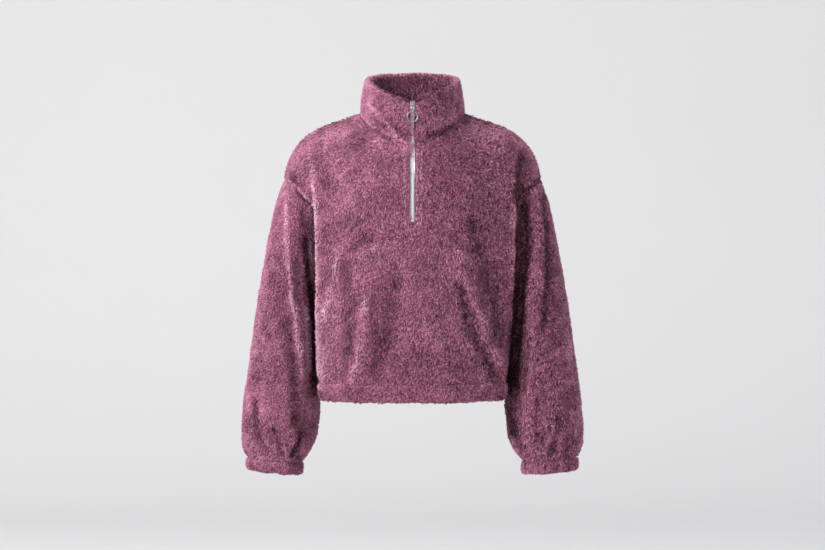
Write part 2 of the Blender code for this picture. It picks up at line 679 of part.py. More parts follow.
def new_torus(name, major, minor, segments, collection, matrix):
    """A torus round its own Z axis, placed by matrix."""
    bpy.ops.mesh.primitive_torus_add(
        major_radius=major, minor_radius=minor, major_segments=segments[0],
        minor_segments=segments[1], location=(0, 0, 0))
    item = bpy.context.object
    item.name = item.data.name = name
    for owner in list(item.users_collection):
        owner.objects.unlink(item)
    collection.objects.link(item)
    item.data.transform(matrix)
    item.data.shade_smooth()
    return item


def set_origin(item, origin):
    """Puts the object's origin on its hinge line without moving its shape."""
    item.data.transform(Matrix.Translation(-Vector(origin)))
    item.location = origin


def new_rod(name, start, end, radius, collection):
    """A round rod between two points."""
    start, end = Vector(start), Vector(end)
    work = bmesh.new()
    bmesh.ops.create_cone(work, segments=12, radius1=radius, radius2=radius,
                          depth=(end - start).length, cap_ends=True)
    turn = (end - start).to_track_quat("Z", "Y").to_matrix().to_4x4()
    work.transform(Matrix.Translation((start + end) / 2) @ turn)
    mesh = bpy.data.meshes.new(name)
    work.to_mesh(mesh)
    work.free()
    item = bpy.data.objects.new(name, mesh)
    collection.objects.link(item)
    return item


def as_cutter(item):
    item.hide_render = True
    item.display_type = "WIRE"
    return item


def add_slider(face, material, collection, helpers):
    """The slider: two plates joined at the top, a channel for the teeth and a bridge in front."""
    def at(depth):
        return face + depth

    body = new_box("zip_slider", (-SLIDER_HALF, at(SLIDER_FRONT), SLIDER_LOW),
                   (SLIDER_HALF, at(SLIDER_BACK), SLIDER_HIGH), collection, material)
    add_bevel(body, 0.0006, 2)
    channel = new_box("slider_channel", (-CHANNEL_HALF, at(CHANNEL_FRONT), SLIDER_LOW - 0.001),
                      (CHANNEL_HALF, at(CHANNEL_BACK), CHANNEL_HIGH), helpers)
    slit = new_box("slider_tape_slit", (-0.006, at(TAPE_SLIT_FRONT), SLIDER_LOW - 0.001),
                   (0.006, at(CHANNEL_BACK), CHANNEL_HIGH), helpers)
    for cutter in (channel, slit):
        cut_or_join(body, as_cutter(cutter), "DIFFERENCE")
    middle, half = (BRIDGE_LOW + BRIDGE_HIGH) / 2, (BRIDGE_HIGH - BRIDGE_LOW) / 2
    angles = np.linspace(0, math.pi, BRIDGE_STEPS + 1)
    arch = [(0, at(SLIDER_FRONT) - BRIDGE_RISE * math.sin(t) ** BRIDGE_POWER,
             middle + half * math.cos(t)) for t in angles]
    feet = [(0, at(SLIDER_FRONT) + BRIDGE_SUNK, middle + half * end) for end in (1, -1)]
    add_bridge(body, [feet[0], *arch, feet[1]], helpers)


def add_bridge(body, line, helpers):
    """Joins a bent round wire along line to the slider."""
    loops = []
    line = [Vector(point) for point in line]
    for i, point in enumerate(line):
        along = (line[min(i + 1, len(line) - 1)] - line[max(i - 1, 0)]).normalized()
        side = Vector((1, 0, 0))
        out = side.cross(along)
        loops.append([point + BRIDGE_RADIUS * (math.cos(t) * side + math.sin(t) * out)
                      for t in np.linspace(0, 2 * math.pi, 11)[:-1]])
    bridge = loop_loft("slider_bridge", loops, None, helpers, closed=False)
    cut_or_join(body, as_cutter(bridge), "UNION")


def add_link(face, material, collection, helpers):
    """The pull link: an eye round the bridge, and below it an eye turned sideways for the ring."""
    hinge = (0.0, face + LINK_DEPTH, BRIDGE_LOW + LINK_EYE)
    upper = Matrix.Translation((0, face + LINK_DEPTH, BRIDGE_LOW)) @ Matrix.Rotation(
        math.pi / 2, 4, "X")
    lower = Matrix.Translation((0, face + RING_DEPTH, RING_TOP)) @ Matrix.Rotation(
        math.pi / 2, 4, "Y")
    link = new_torus("pull_link", LINK_EYE, LINK_WIRE, (18, 8), collection, upper)
    link.data.materials.append(material)
    set_origin(link, hinge)
    eye = new_torus("link_ring_eye", RING_EYE, RING_EYE_WIRE, (18, 8), helpers, lower)
    neck = new_rod("link_neck", (0, face + LINK_DEPTH, BRIDGE_LOW - LINK_EYE),
                   (0, face + RING_DEPTH + 0.0008, RING_TOP + RING_EYE * 0.93), 0.0006, helpers)
    for piece in (eye, neck):
        cut_or_join(link, as_cutter(piece), "UNION")


def add_ring(face, material, collection):
    """The pull ring, hanging flat in front of the collar."""
    centre = (0.0, face + RING_DEPTH, RING_TOP - RING_RADIUS)
    turn = Matrix.Translation(centre) @ Matrix.Rotation(math.pi / 2, 4, "X")
    ring = new_torus("pull_ring", RING_RADIUS, RING_WIRE, (40, 10), collection, turn)
    ring.data.materials.append(material)
    set_origin(ring, (0.0, face + RING_DEPTH, RING_TOP))


def add_tack(path, material, collection):
    """The bar tack that closes the slot at its foot."""
    foot_y, foot_z = path[1]
    tack = new_box("bar_tack", (-TACK_HALF, foot_y + TACK_FRONT, foot_z + 0.0004),
                   (TACK_HALF, foot_y + TACK_BACK, foot_z + TACK_HEIGHT), collection, material)
    add_bevel(tack, 0.0004, 2)


def build():
    for item in list(bpy.data.objects):
        bpy.data.objects.remove(item)
    garment = bpy.data.collections.new("fleece_top")
    helpers = bpy.data.collections.new("cutters")
    for collection in (garment, helpers):
        bpy.context.scene.collection.children.link(collection)

    front_half = half_panel(FRONT_NET, FRONT_SPANS, FRONT_ARMHOLE, FRONT_NECKLINE)
    back_half = half_panel(BACK_NET, BACK_SPANS, BACK_ARMHOLE, BACK_NECKLINE)
    rings = sleeve_rings(front_half, back_half)
    front = np.concatenate([mirrored(front_half)[:, ::-1], with_fuller_fold(front_half)], axis=1)
    back = np.concatenate([mirrored(back_half)[:, :0:-1], back_half], axis=1)[:, ::-1]
    left, right = rings[:, ::-1], mirrored(rings)
    front_neck = front_half[-1, : front_half.shape[1] - SHOULDER_STEPS]
    back_neck = back_half[-1, : back_half.shape[1] - SHOULDER_STEPS]
    half_neck = np.vstack([front_neck, back_neck[::-1][1:]])
    collar = collar_grid(np.vstack([half_neck, mirrored(half_neck)[::-1][1:]]))

    wraps = (False, False, True, True, False)
    plain = shared_normals(list(zip((front, back, left, right, collar), wraps)))
    middle = slice(front_half.shape[1] - 2, front_half.shape[1] + 2)
    every = slice(None)
    sides = ((every, 0), (every, -1), (-1, every))
    front = folded(front, plain[0], FRONT_FOLDS, (), (*sides, (every, middle)))
    back = folded(back, plain[1], (), BACK_FOLDS, sides)
    armhole = ((0, every),)
    left = folded(left, plain[2], SLEEVE_FRONT_FOLDS, SLEEVE_BACK_FOLDS, armhole)
    right = folded(right, plain[3], mirrored_folds(SLEEVE_FRONT_FOLDS),
                   mirrored_folds(SLEEVE_BACK_FOLDS), armhole)
    collar = folded(collar, plain[4], COLLAR_FOLDS, (), ((0, every), (every, 0), (every, -1)))

    outer = (front, back, left, right, collar)
    normals = shared_normals(list(zip(outer, wraps)))
    level_first_row(normals[0])
    level_first_row(normals[1])
    square_ends(normals[4])
    inner = [grid - out * WALL for grid, out in zip(outer[:4], normals[:4])]
    thickness = WALL + (COLLAR_WALL - WALL) * ease(np.asarray(COLLAR_RISE) / COLLAR_FULL_AT)
    inner.append(collar - normals[4] * thickness[:, None, None])

    edges = (
        ("first_row", "last_row", "first_column", "last_column"),
        ("first_row", "last_row", "first_column", "last_column"),
        ("first_row", "last_row"),
        ("first_row", "last_row"),
        ("first_row",),
    )
    skins = [[drawn_in(face, out, names) for face in pair]
             for pair, out, names in zip(zip(outer, inner), normals, edges)]

    fleece = new_material("fleece", FLEECE_COLOUR, 0.95)
    slit_rows = range(sum(ROW_SPANS[:UNDERARM_SPAN]), front.shape[0] - 1)
    slit = {(r, front_half.shape[1] - 1) for r in slit_rows}
    cloth_wall("front", *skins[0], fleece, garment, missing=slit)
    cloth_wall("back", *skins[1], own(fleece, "fleece_back"), garment)
    cloth_wall("sleeve_left", *skins[2], own(fleece, "fleece_sleeve_left"), garment, wraps=True)
    cloth_wall("sleeve_right", *skins[3], own(fleece, "fleece_sleeve_right"), garment, wraps=True)
    loop_loft("collar", wall_loops(*skins[4], ROLL_STEPS), own(fleece, "fleece_collar"), garment,
              closed=False)

    hem_outer = np.vstack([front[0], back[0, 1:-1]])
    hem_inner = np.vstack([inner[0][0], inner[1][0, 1:-1]])
    loop_loft("hem_casing", casing_loops(hem_outer, hem_inner, HEM_PROFILE),
              own(fleece, "fleece_hem"), garment, closed=True)
    for name, index in (("cuff_left", 2), ("cuff_right", 3)):
        loops = casing_loops(outer[index][-1], inner[index][-1], CUFF_PROFILE)
        loop_loft(name, loops, own(fleece, "fleece_" + name), garment, closed=True)

    path = zip_path(front, collar)
    frames = path_frames(path)
    tape = new_material("zip_tape", TAPE_COLOUR, 0.8)
    teeth = new_material("zip_teeth", TEETH_COLOUR, 0.4, 0.6)
    metal = new_material("slider_metal", METAL_COLOUR, 0.3, 1.0)
    add_tapes(frames, tape, garment)
    add_teeth(frames, teeth, garment)
    add_tack(path, new_material("tack_thread", TACK_COLOUR, 0.7), garment)
    face = float(np.interp(ZIP_TOP, path[:, 1], path[:, 0]))
    add_slider(face, metal, garment, helpers)
    add_link(face, own(metal, "link_metal"), garment, helpers)
    add_ring(face, own(metal, "ring_metal"), garment)


def own(material, name):
    copy = material.copy()
    copy.name = name
    return copy


def level_first_row(normals):
    """Turns the first row's normals level, so that the hem seam lies flat."""
    normals[0, :, 2] = 0
    normals[0] /= np.linalg.norm(normals[0], axis=1, keepdims=True)


def square_ends(normals):
    """Turns the normals of the first and last stations square to the zip."""
    for station in (0, -1):
        normals[:, station, 0] = 0
        normals[:, station] /= np.linalg.norm(normals[:, station], axis=1, keepdims=True)


build()
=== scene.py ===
"""Dresses the cropped fleece top: pile, cloth, stitching, zip and a plain stage.

Lengths are in metres. +Z is up, the front faces -Y and the wearer's left is +X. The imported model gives
every piece its form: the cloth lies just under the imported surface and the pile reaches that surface.
"""

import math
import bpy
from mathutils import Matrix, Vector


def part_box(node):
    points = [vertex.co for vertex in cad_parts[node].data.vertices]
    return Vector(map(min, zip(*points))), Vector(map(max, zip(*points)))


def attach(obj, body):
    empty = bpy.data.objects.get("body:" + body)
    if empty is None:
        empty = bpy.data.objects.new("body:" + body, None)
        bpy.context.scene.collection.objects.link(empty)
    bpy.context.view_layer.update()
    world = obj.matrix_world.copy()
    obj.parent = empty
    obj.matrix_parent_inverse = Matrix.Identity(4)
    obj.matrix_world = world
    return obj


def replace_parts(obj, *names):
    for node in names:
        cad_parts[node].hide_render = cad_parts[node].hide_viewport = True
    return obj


bl_info = {
    "name": "Cropped fleece top",
    "version": (1, 0, 0),
    "blender": (4, 5, 0),
    "location": "3D Viewport > Sidebar > Fleece top",
    "description": "Dresses a cropped fleece top with pile, stitching and a short zip",
    "category": "Object",
}

import bmesh
import bpy
import numpy as np
from mathutils import Vector
from mathutils.bvhtree import BVHTree
from mathutils.kdtree import KDTree

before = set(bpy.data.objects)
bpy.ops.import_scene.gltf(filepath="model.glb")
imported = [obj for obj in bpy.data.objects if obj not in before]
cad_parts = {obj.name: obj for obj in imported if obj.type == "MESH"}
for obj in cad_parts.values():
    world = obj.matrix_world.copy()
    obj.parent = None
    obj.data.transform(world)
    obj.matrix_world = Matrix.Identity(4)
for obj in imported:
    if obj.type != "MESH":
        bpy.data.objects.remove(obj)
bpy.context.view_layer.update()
GARMENT = "garment"

# Where the photograph's camera stands
CAMERA_DISTANCE = 5.0
CAMERA_ELEVATION = math.radians(3.0)
CAMERA_TARGET = (0.0, 0.0, -0.2916)
CAMERA_LENS = 121.2

# The photograph's pixels: the middle of the garment, the height of its row 275, and the size of one pixel
PIXEL_MIDDLE = 412.5
PIXEL_ROW = 275.0
PIXEL_HEIGHT = -0.2856
PIXEL = 0.00176

# The zip slit: height, and half the width that the tips of the pile leave clear; below 0 they cross over
ZIP_CLEAR = (
    (0.0130, 0.0034),
    (0.0050, 0.0028),
    (-0.0080, 0.0019),
    (-0.0280, 0.0015),
    (-0.0320, -0.0016),
    (-0.0385, -0.0016),
    (-0.0410, 0.0032),
    (-0.0500, 0.0032),
    (-0.0525, 0.0006),
    (-0.0600, 0.0008),
    (-0.0635, 0.0024),
    (-0.0680, 0.0012),
    (-0.0780, 0.0036),
    (-0.1980, 0.0038),
)

# Folds seen from the front. Each follows points in the photograph's pixels; then come its half width in
# pixels, its height above the cloth in millimetres, and how much painted highlight (above 0) or painted shade
# (below 0) lies on the pile along it.
FRONT_FOLDS = (
    # the two side edges of the body with painted highlights, and the hollows beside them with painted shade
    (((308, 146), (311, 166)), 3.2, 2.0, 0.20),
    (((312, 170), (313.5, 182), (315.5, 210), (316.5, 300), (317, 370), (319, 390)), 2.4, 3.2, 0.46),
    (((520, 148), (515, 166), (514, 200), (513, 240), (511, 290)), 2.6, 2.6, 0.10),
    (((523, 152), (520, 172), (519, 192)), 3.6, -3.0, -0.34),
    (((520, 188), (524, 215), (526.5, 240), (525, 264), (521, 300), (517.5, 335), (515, 370), (514.5, 394)),
     4.1, -8.0, -1.50),
    (((302, 206), (303, 230), (304.5, 248)), 2.2, -1.4, -0.14),
    (((304.5, 238), (306, 266), (309.5, 290), (312, 316)), 1.8, -4.0, -1.10),
    (((311, 206), (311.5, 250), (313, 278)), 2.4, 1.6, 0.90),
    (((312, 306), (313, 335), (313.5, 396)), 1.5, -4.0, -0.95),
    (((305, 310), (307, 340), (308, 374)), 2.6, 0.8, 0.50),
    # belly, left of the middle
    (((340, 248), (335, 264), (331, 284), (326, 302), (322, 320)), 3.6, 3.0, 0.36),
    (((344, 264), (347, 290), (346, 320), (345, 350)), 5.0, -1.8, -0.16),
    (((354, 255), (370, 248), (385, 245), (398, 246)), 4.5, 2.6, 0.22),
    (((352, 247), (361, 239), (374, 235)), 5.0, -1.4, -0.16),
    (((350, 220), (350, 243)), 2.4, 0.9, 0.12),
    (((366, 298), (365, 318), (362, 335), (359, 350), (356, 366), (352, 384)), 4.2, 3.0, 0.28),
    (((364, 262), (366, 300)), 6.0, 1.2, 0.08),
    (((375, 300), (376, 330), (377, 352), (374, 372)), 5.0, -2.0, -0.16),
    (((351, 300), (350, 330), (347, 360), (342, 380)), 4.5, -1.6, -0.12),
    (((394, 282), (390, 300), (388, 330), (383, 362)), 7.5, -2.2, -0.18),
    # belly, right of the middle
    (((460, 254), (463, 274), (469, 290), (480, 312), (488, 330), (495, 350), (499, 364)), 4.2, 3.0, 0.20),
    (((459, 284), (464, 302), (470, 322), (479, 345), (489, 364), (498, 380)), 4.6, -3.8, -0.34),
    (((472, 222), (479, 246), (488, 268), (495, 296), (498, 326), (499, 345)), 6.5, -3.2, -0.28),
    (((449, 316), (459, 338), (471, 360)), 4.0, 1.4, 0.10),
    (((420, 352), (436, 358), (452, 366)), 8.0, -1.4, -0.12),
    (((428, 318), (440, 345)), 8.0, 1.2, 0.08),
    (((405, 252), (408, 330)), 7.0, 1.0, 0.06),
    # left sleeve
    (((285, 186), (286.5, 215), (287, 262), (290, 296), (294, 322), (298, 348), (301, 380)),
     3.2, 3.4, 0.32),
    (((292, 300), (296, 328), (299, 350)), 4.5, 1.4, 0.18),
    (((294, 262), (297, 285), (296, 304)), 4.0, -1.8, -0.10),
    (((286, 322), (290, 345), (292, 372), (293, 402), (294, 424)), 5.2, -2.8, -0.28),
    (((263, 240), (257, 300), (251, 352)), 4.5, 0.6, 0.12),
    (((276, 298), (279, 330), (283, 352)), 4.5, -1.2, -0.12),
    (((305, 402), (311, 420)), 3.0, 1.2, 0.14),
    (((246, 400), (245, 428), (248, 452)), 3.2, 0.8, 0.18),
    (((253, 404), (252, 424), (254, 441)), 3.6, -1.6, -0.26),
    (((255, 430), (271, 433)), 3.2, -1.0, -0.12),
    (((262, 437), (265, 453)), 2.4, 1.8, 0.26),
    (((272, 432), (277, 446)), 3.0, -1.6, -0.20),
    (((272, 449), (275, 458)), 1.6, 1.4, 0.22),
    (((283, 451), (284, 458)), 2.0, 1.4, 0.18),
    (((278, 447), (279, 459)), 2.0, -1.6, -0.16),
    (((302, 436), (298, 446), (293, 455), (289, 461)), 2.4, -3.2, -0.60),
    (((296, 424), (301, 438)), 3.4, -1.6, -0.22),
    (((304, 444), (299, 458)), 2.6, 1.6, 0.08),
    # right sleeve
    (((535, 194), (540, 215), (543, 245), (542, 275), (539, 300), (536, 330), (533, 360), (531, 395)),
     4.0, 3.4, 0.08),
    (((547, 196), (548.5, 230), (549, 262), (548.5, 292), (546, 325)), 3.2, -3.4, -0.32),
    (((562, 288), (568, 330), (572, 372)), 5.0, 1.2, 0.10),
    (((526, 322), (527, 350), (525, 390)), 3.0, -1.4, -0.14),
    (((507, 402), (510, 418), (513, 436)), 5.0, -3.0, -0.42),
    (((518, 440), (524, 452)), 4.0, -1.6, -0.24),
    (((526, 402), (527, 440)), 5.0, 1.0, 0.12),
    (((538, 398), (537, 416), (538, 430), (539, 442)), 2.2, -1.4, -0.22),
    (((562, 416), (560, 432), (556, 446), (553, 458)), 2.6, -3.0, -0.36),
    (((566, 422), (565, 434)), 3.0, -1.0, -0.14),
    (((555, 428), (550, 447)), 2.6, 1.4, 0.12),
    (((571, 440), (569, 456)), 2.4, -1.6, -0.16),
    # seams of the sleeves
    (((286, 181), (296, 187), (303, 195), (308, 202)), 1.5, 1.8, 0.36),
    (((296, 190.5), (303, 199), (312, 209)), 1.4, -1.8, -0.34),
    (((541, 179.5), (531, 188), (525, 197)), 1.7, -2.2, -0.44),
    (((541, 185), (532, 193.5)), 2.2, 1.8, 0.18),
    # seam and rolls of the collar
    (((369, 104), (383, 120), (397, 135)), 1.9, 3.0, 0.26),
    (((373, 101), (387, 118), (400, 133)), 2.2, -1.4, -0.12),
    (((358, 112), (370, 124), (387, 133), (402, 140)), 1.8, 2.4, 0.28),
    (((360, 118), (372, 129.5), (388, 138)), 2.0, -1.0, -0.12),
    (((471, 110), (462, 122), (446, 130), (430, 136)), 3.2, -2.8, -0.24),
    (((466, 104), (452, 116), (436, 122)), 5.0, 1.4, 0.08),
    # the edges that the topstitching raises beside the zip, with painted highlights along them
    (((416, 148), (416.3, 222)), 1.0, 0.0, 0.30),
    (((405.5, 148), (406, 222)), 1.0, 0.7, 0.20),
    (((420.5, 148), (420.5, 220), (414, 227)), 1.0, 0.7, 0.18),
)
# Folds of the back, guessed: x and z points in metres, then as above, with painted highlights and painted
# shade along them
BACK_FOLDS = (
    (((-0.150, -0.200), (-0.138, -0.320), (-0.115, -0.440)), 6.0, 3.4, 0.20),
    (((-0.128, -0.230), (-0.110, -0.330), (-0.092, -0.430)), 6.0, -3.0, -0.16),
    (((0.150, -0.190), (0.140, -0.300), (0.118, -0.430)), 7.0, 3.4, 0.20),
    (((0.124, -0.220), (0.110, -0.320), (0.094, -0.410)), 6.0, -3.0, -0.16),
    (((-0.040, -0.330), (-0.060, -0.460)), 8.0, -2.6, -0.10),
    (((0.050, -0.350), (0.038, -0.465)), 8.0, 2.6, 0.14),
    (((-0.110, -0.075), (0.0, -0.085), (0.100, -0.078)), 9.0, -1.8, -0.08),
    (((0.000, -0.250), (0.018, -0.380)), 11.0, 2.0, 0.10),
    (((-0.205, -0.140), (-0.200, -0.260), (-0.190, -0.400)), 5.0, -7.0, -0.30),
    (((0.205, -0.140), (0.200, -0.260), (0.190, -0.400)), 5.0, -7.0, -0.30),
    (((-0.240, -0.160), (-0.248, -0.300), (-0.262, -0.430)), 5.5, 3.4, 0.20),
    (((0.240, -0.150), (0.250, -0.310), (0.260, -0.440)), 5.5, 3.4, 0.20),
    (((-0.225, -0.320), (-0.245, -0.460)), 6.0, -3.0, -0.16),
    (((0.222, -0.340), (0.244, -0.480)), 6.0, -3.0, -0.16),
    (((-0.262, -0.470), (-0.240, -0.570)), 6.0, 2.6, 0.10),
    (((0.266, -0.450), (0.244, -0.560)), 6.0, 2.6, 0.10),
    (((-0.225, -0.560), (-0.230, -0.606)), 2.5, -3.0, -0.20),
    (((-0.250, -0.565), (-0.252, -0.604)), 2.3, -2.8, -0.16),
    (((-0.272, -0.560), (-0.268, -0.602)), 2.3, -2.8, -0.16),
    (((0.225, -0.565), (0.230, -0.606)), 2.5, -3.0, -0.20),
    (((0.248, -0.560), (0.250, -0.604)), 2.3, -2.8, -0.16),
    (((0.274, -0.565), (0.269, -0.602)), 2.3, -2.8, -0.16),
)

# Swaths of painted light and painted shade on the pile, in the photograph's pixels: x, y, half width, half
# height, lightness
FRONT_PAINTED_LIGHT_AND_SHADE = (
    (318, 135, 14, 6, 0.08),
    (354, 134, 12, 7, 0.14),
    (352, 186, 20, 12, 0.16),
    (372, 172, 14, 8, 0.08),
    (326, 174, 5, 13, -0.10),
    (350, 206, 14, 10, 0.10),
    (384, 196, 12, 16, -0.06),
    (470, 170, 34, 36, -0.08),
    (484, 205, 20, 14, -0.06),
    (504, 132, 12, 10, 0.02),
    (322, 368, 8, 18, 0.18),
    (336, 300, 14, 30, 0.12),
    (332, 344, 12, 34, 0.10),
    (548, 300, 24, 120, -0.08),
    (266, 414, 10, 12, 0.16),
    (258, 360, 14, 24, 0.08),
    (255, 465, 8, 6, 0.16),
    (276, 466, 24, 6, 0.10),
    (295, 466, 8, 8, -0.22),
    (570, 462, 7, 7, -0.12),
    (534, 150, 6, 16, 0.10),
    (366, 92, 8, 14, 0.14),
    (392, 112, 16, 10, 0.05),
    (446, 104, 16, 10, -0.06),
)


class TopSizes(bpy.types.PropertyGroup):
    """Sizes that shape the pile and the sewing."""

    pile_depth: bpy.props.FloatProperty(
        name="Pile depth", description="Height of the pile above the knitted ground",
        default=0.0027, min=0.001, max=0.02, subtype="DISTANCE", unit="LENGTH")
    lock_width: bpy.props.FloatProperty(
        name="Lock width", description="Width of one lock of pile at its root",
        default=0.0021, min=0.0005, max=0.01, subtype="DISTANCE", unit="LENGTH")
    lean: bpy.props.FloatProperty(
        name="Lean", description="How far a lock's tip lies from above its root",
        default=0.0040, min=0.0, max=0.02, subtype="DISTANCE", unit="LENGTH")
    clump: bpy.props.FloatProperty(
        name="Clumping", description="Share by which neighbouring tips draw together",
        default=0.52, min=0.0, max=1.0, subtype="FACTOR")
    body_density: bpy.props.FloatProperty(
        name="Locks on the body", description="Locks on a square metre of the front and back",
        default=384000, min=1000, max=600000)
    sleeve_density: bpy.props.FloatProperty(
        name="Locks on the sleeves", description="Locks on a square metre of the sleeves",
        default=410000, min=1000, max=600000)
    trim_density: bpy.props.FloatProperty(
        name="Locks on the collar and casings", description="Locks on a square metre of the smaller pieces",
        default=500000, min=1000, max=800000)
    tooth_pitch: bpy.props.FloatProperty(
        name="Tooth pitch", description="Height from one zip tooth to the next on the same side",
        default=0.0017, min=0.0008, max=0.005, subtype="DISTANCE", unit="LENGTH")
    stitch_length: bpy.props.FloatProperty(
        name="Stitch length", description="Length of one stitch beside the zip",
        default=0.0032, min=0.001, max=0.01, subtype="DISTANCE", unit="LENGTH")
    stitch_offset: bpy.props.FloatProperty(
        name="Stitch offset", description="How far the stitching lies from the middle of the zip",
        default=0.0118, min=0.005, max=0.03, subtype="DISTANCE", unit="LENGTH")


class TopColours(bpy.types.PropertyGroup):
    """Colours of the fleece, thread and zip."""

    # painted shade: the colour at the roots and in the creases
    pile_deep: bpy.props.FloatVectorProperty(
        name="Pile, deep", description="Colour at the roots and in the creases",
        default=(0.030, 0.005, 0.011), size=3, min=0, max=1, subtype="COLOR")
    pile_middle: bpy.props.FloatVectorProperty(
        name="Pile, middle", description="Colour of most of the pile",
        default=(0.385, 0.132, 0.210), size=3, min=0, max=1, subtype="COLOR")
    # the pile's light colour is also the painted highlight on fold ridges and lit swaths
    pile_light: bpy.props.FloatVectorProperty(
        name="Pile, light", description="Colour of the tips where the pile is brushed up",
        default=(0.640, 0.400, 0.490), size=3, min=0, max=1, subtype="COLOR")
    # the knitted ground's dark colour is painted shade between the locks
    ground: bpy.props.FloatVectorProperty(
        name="Knitted ground", description="Colour of the cloth under the pile",
        default=(0.100, 0.027, 0.047), size=3, min=0, max=1, subtype="COLOR")
    inside: bpy.props.FloatVectorProperty(
        name="Inside", description="Colour of the knitted back of the cloth",
        default=(0.230, 0.072, 0.118), size=3, min=0, max=1, subtype="COLOR")
    thread: bpy.props.FloatVectorProperty(
        name="Thread", description="Colour of the stitching beside the zip",
        default=(0.460, 0.180, 0.270), size=3, min=0, max=1, subtype="COLOR")
    tack: bpy.props.FloatVectorProperty(
        name="Tack thread", description="Colour of the tack below the zip",
        default=(0.420, 0.035, 0.120), size=3, min=0, max=1, subtype="COLOR")
    tape: bpy.props.FloatVectorProperty(
        name="Zip tape", description="Colour of the woven zip tape",
        default=(0.940, 0.925, 0.935), size=3, min=0, max=1, subtype="COLOR")
    teeth: bpy.props.FloatVectorProperty(
        name="Zip teeth", description="Colour of the moulded teeth",
        default=(0.740, 0.730, 0.745), size=3, min=0, max=1, subtype="COLOR")
    metal: bpy.props.FloatVectorProperty(
        name="Metal", description="Colour of the slider, link and ring",
        default=(0.480, 0.465, 0.455), size=3, min=0, max=1, subtype="COLOR")
    floor: bpy.props.FloatVectorProperty(
        name="Floor", description="Colour of the floor and the wall behind",
        default=(0.610, 0.605, 0.600), size=3, min=0, max=1, subtype="COLOR")


def sizes():
    """The sizes that the sidebar shows."""
    return bpy.context.scene.top_sizes


def colours():
    """The colours that the sidebar shows."""
    return bpy.context.scene.top_colours


class Value:
    """One output of a shader's node; sums and products of values become Math nodes."""

    def __init__(self, recipe, socket):
        self.recipe = recipe
        self.socket = socket

    def maths(self, operation, first, second):
        return self.recipe.node("ShaderNodeMath", {"operation": operation}, {0: first, 1: second})

    def __add__(self, other):
        return self.maths("ADD", self, other)

    def __radd__(self, other):
        return self.maths("ADD", other, self)

    def __sub__(self, other):
        return self.maths("SUBTRACT", self, other)

    def __rsub__(self, other):
        return self.maths("SUBTRACT", other, self)

    def __mul__(self, other):
        return self.maths("MULTIPLY", self, other)

    def __rmul__(self, other):
        return self.maths("MULTIPLY", other, self)


class Recipe:
    """A material under construction."""

    def __init__(self, name, **constants):
        self.material = bpy.data.materials.new(name)
        self.material.use_nodes = True
        self.tree = self.material.node_tree
        self.shader = self.tree.nodes["Principled BSDF"]
        for socket, value in constants.items():
            self.shader.inputs[socket.replace("_", " ")].default_value = value

    def node(self, kind, settings=None, inputs=None, output=0):
        """Adds one node: its settings first, then the values or links of its sockets."""
        made = self.tree.nodes.new(kind)
        for setting, value in (settings or {}).items():
            if setting == "stops":
                while len(made.color_ramp.elements) < len(value):
                    made.color_ramp.elements.new(0.5)
                for stop, (place, colour) in zip(made.color_ramp.elements, value):
                    stop.position = place
                    stop.color = colour
            else:
                setattr(made, setting, value)
        for socket, value in (inputs or {}).items():
            if isinstance(value, Value):
                self.tree.links.new(value.socket, made.inputs[socket])
            else:
                made.inputs[socket].default_value = value
        return Value(self, made.outputs[output])

    def feed(self, socket, value):
        """Links a value to a socket of the material's shader."""
        self.tree.links.new(value.socket, self.shader.inputs[socket])

    def place(self):
        """Where a point lies on the piece, in metres."""
        return self.node("ShaderNodeTexCoord", output="Object")

    def noise(self, scale, detail=2.0, roughness=0.5):
        return self.node("ShaderNodeTexNoise", {}, {
            "Vector": self.place(), "Scale": scale, "Detail": detail, "Roughness": roughness})

    def bands(self, direction, scale, distortion, **more):
        return self.node("ShaderNodeTexWave", {"wave_type": "BANDS", "bands_direction": direction}, {
            "Vector": self.place(), "Scale": scale, "Distortion": distortion, **more}, output="Fac")

    def painted(self, share, colour, darkest):
        """Feeds the colour, which falls to that share of itself where the value is 0."""
        deep = [channel * darkest for channel in colour]
        self.feed("Base Color", self.node("ShaderNodeMix", {"data_type": "RGBA"}, {
            "Factor": share, 6: (*deep, 1.0), 7: (*colour, 1.0)}, output=2))

    def bumped(self, height, strength, distance):
        self.feed("Normal", self.node("ShaderNodeBump", {}, {
            "Height": height, "Strength": strength, "Distance": distance}))


def pile_finish():
    """Pile: painted shade deep at the roots and in the creases, lighter and warmer towards the tips, uneven
    from lock to lock.
    """
    recipe = Recipe("fleece_pile", Roughness=0.78, Sheen_Weight=0.12, Sheen_Roughness=0.45,
                    Sheen_Tint=(0.95, 0.72, 0.82, 1.0), Specular_IOR_Level=0.22)
    shade = recipe.node("ShaderNodeAttribute", {"attribute_name": "shade"}, output="Fac")
    grain = recipe.noise(620.0, 2.0)
    lightness = shade + (grain - 0.5) * 0.24
    paint = colours()
    recipe.feed("Base Color", recipe.node("ShaderNodeValToRGB", {"stops": (
        (0.0, (*paint.pile_deep, 1.0)),
        (0.5, (*paint.pile_middle, 1.0)),
        (1.0, (*paint.pile_light, 1.0)))}, {"Fac": lightness}, output="Color"))
    return recipe.material


def ground_finish():
    """The knitted ground under the pile, with short fuzz, and painted shade from the shade attribute in the
    folds' hollows.
    """
    recipe = Recipe("fleece_ground", Roughness=0.92, Specular_IOR_Level=0.15)
    fuzz = recipe.noise(900.0, 3.0, 0.6)
    shade = recipe.node("ShaderNodeAttribute", {"attribute_name": "shade"}, output="Fac")
    recipe.painted(shade + fuzz * 0.5 - 0.25, colours().ground, 0.06)
    recipe.bumped(fuzz, 0.7, 0.0012)
    return recipe.material


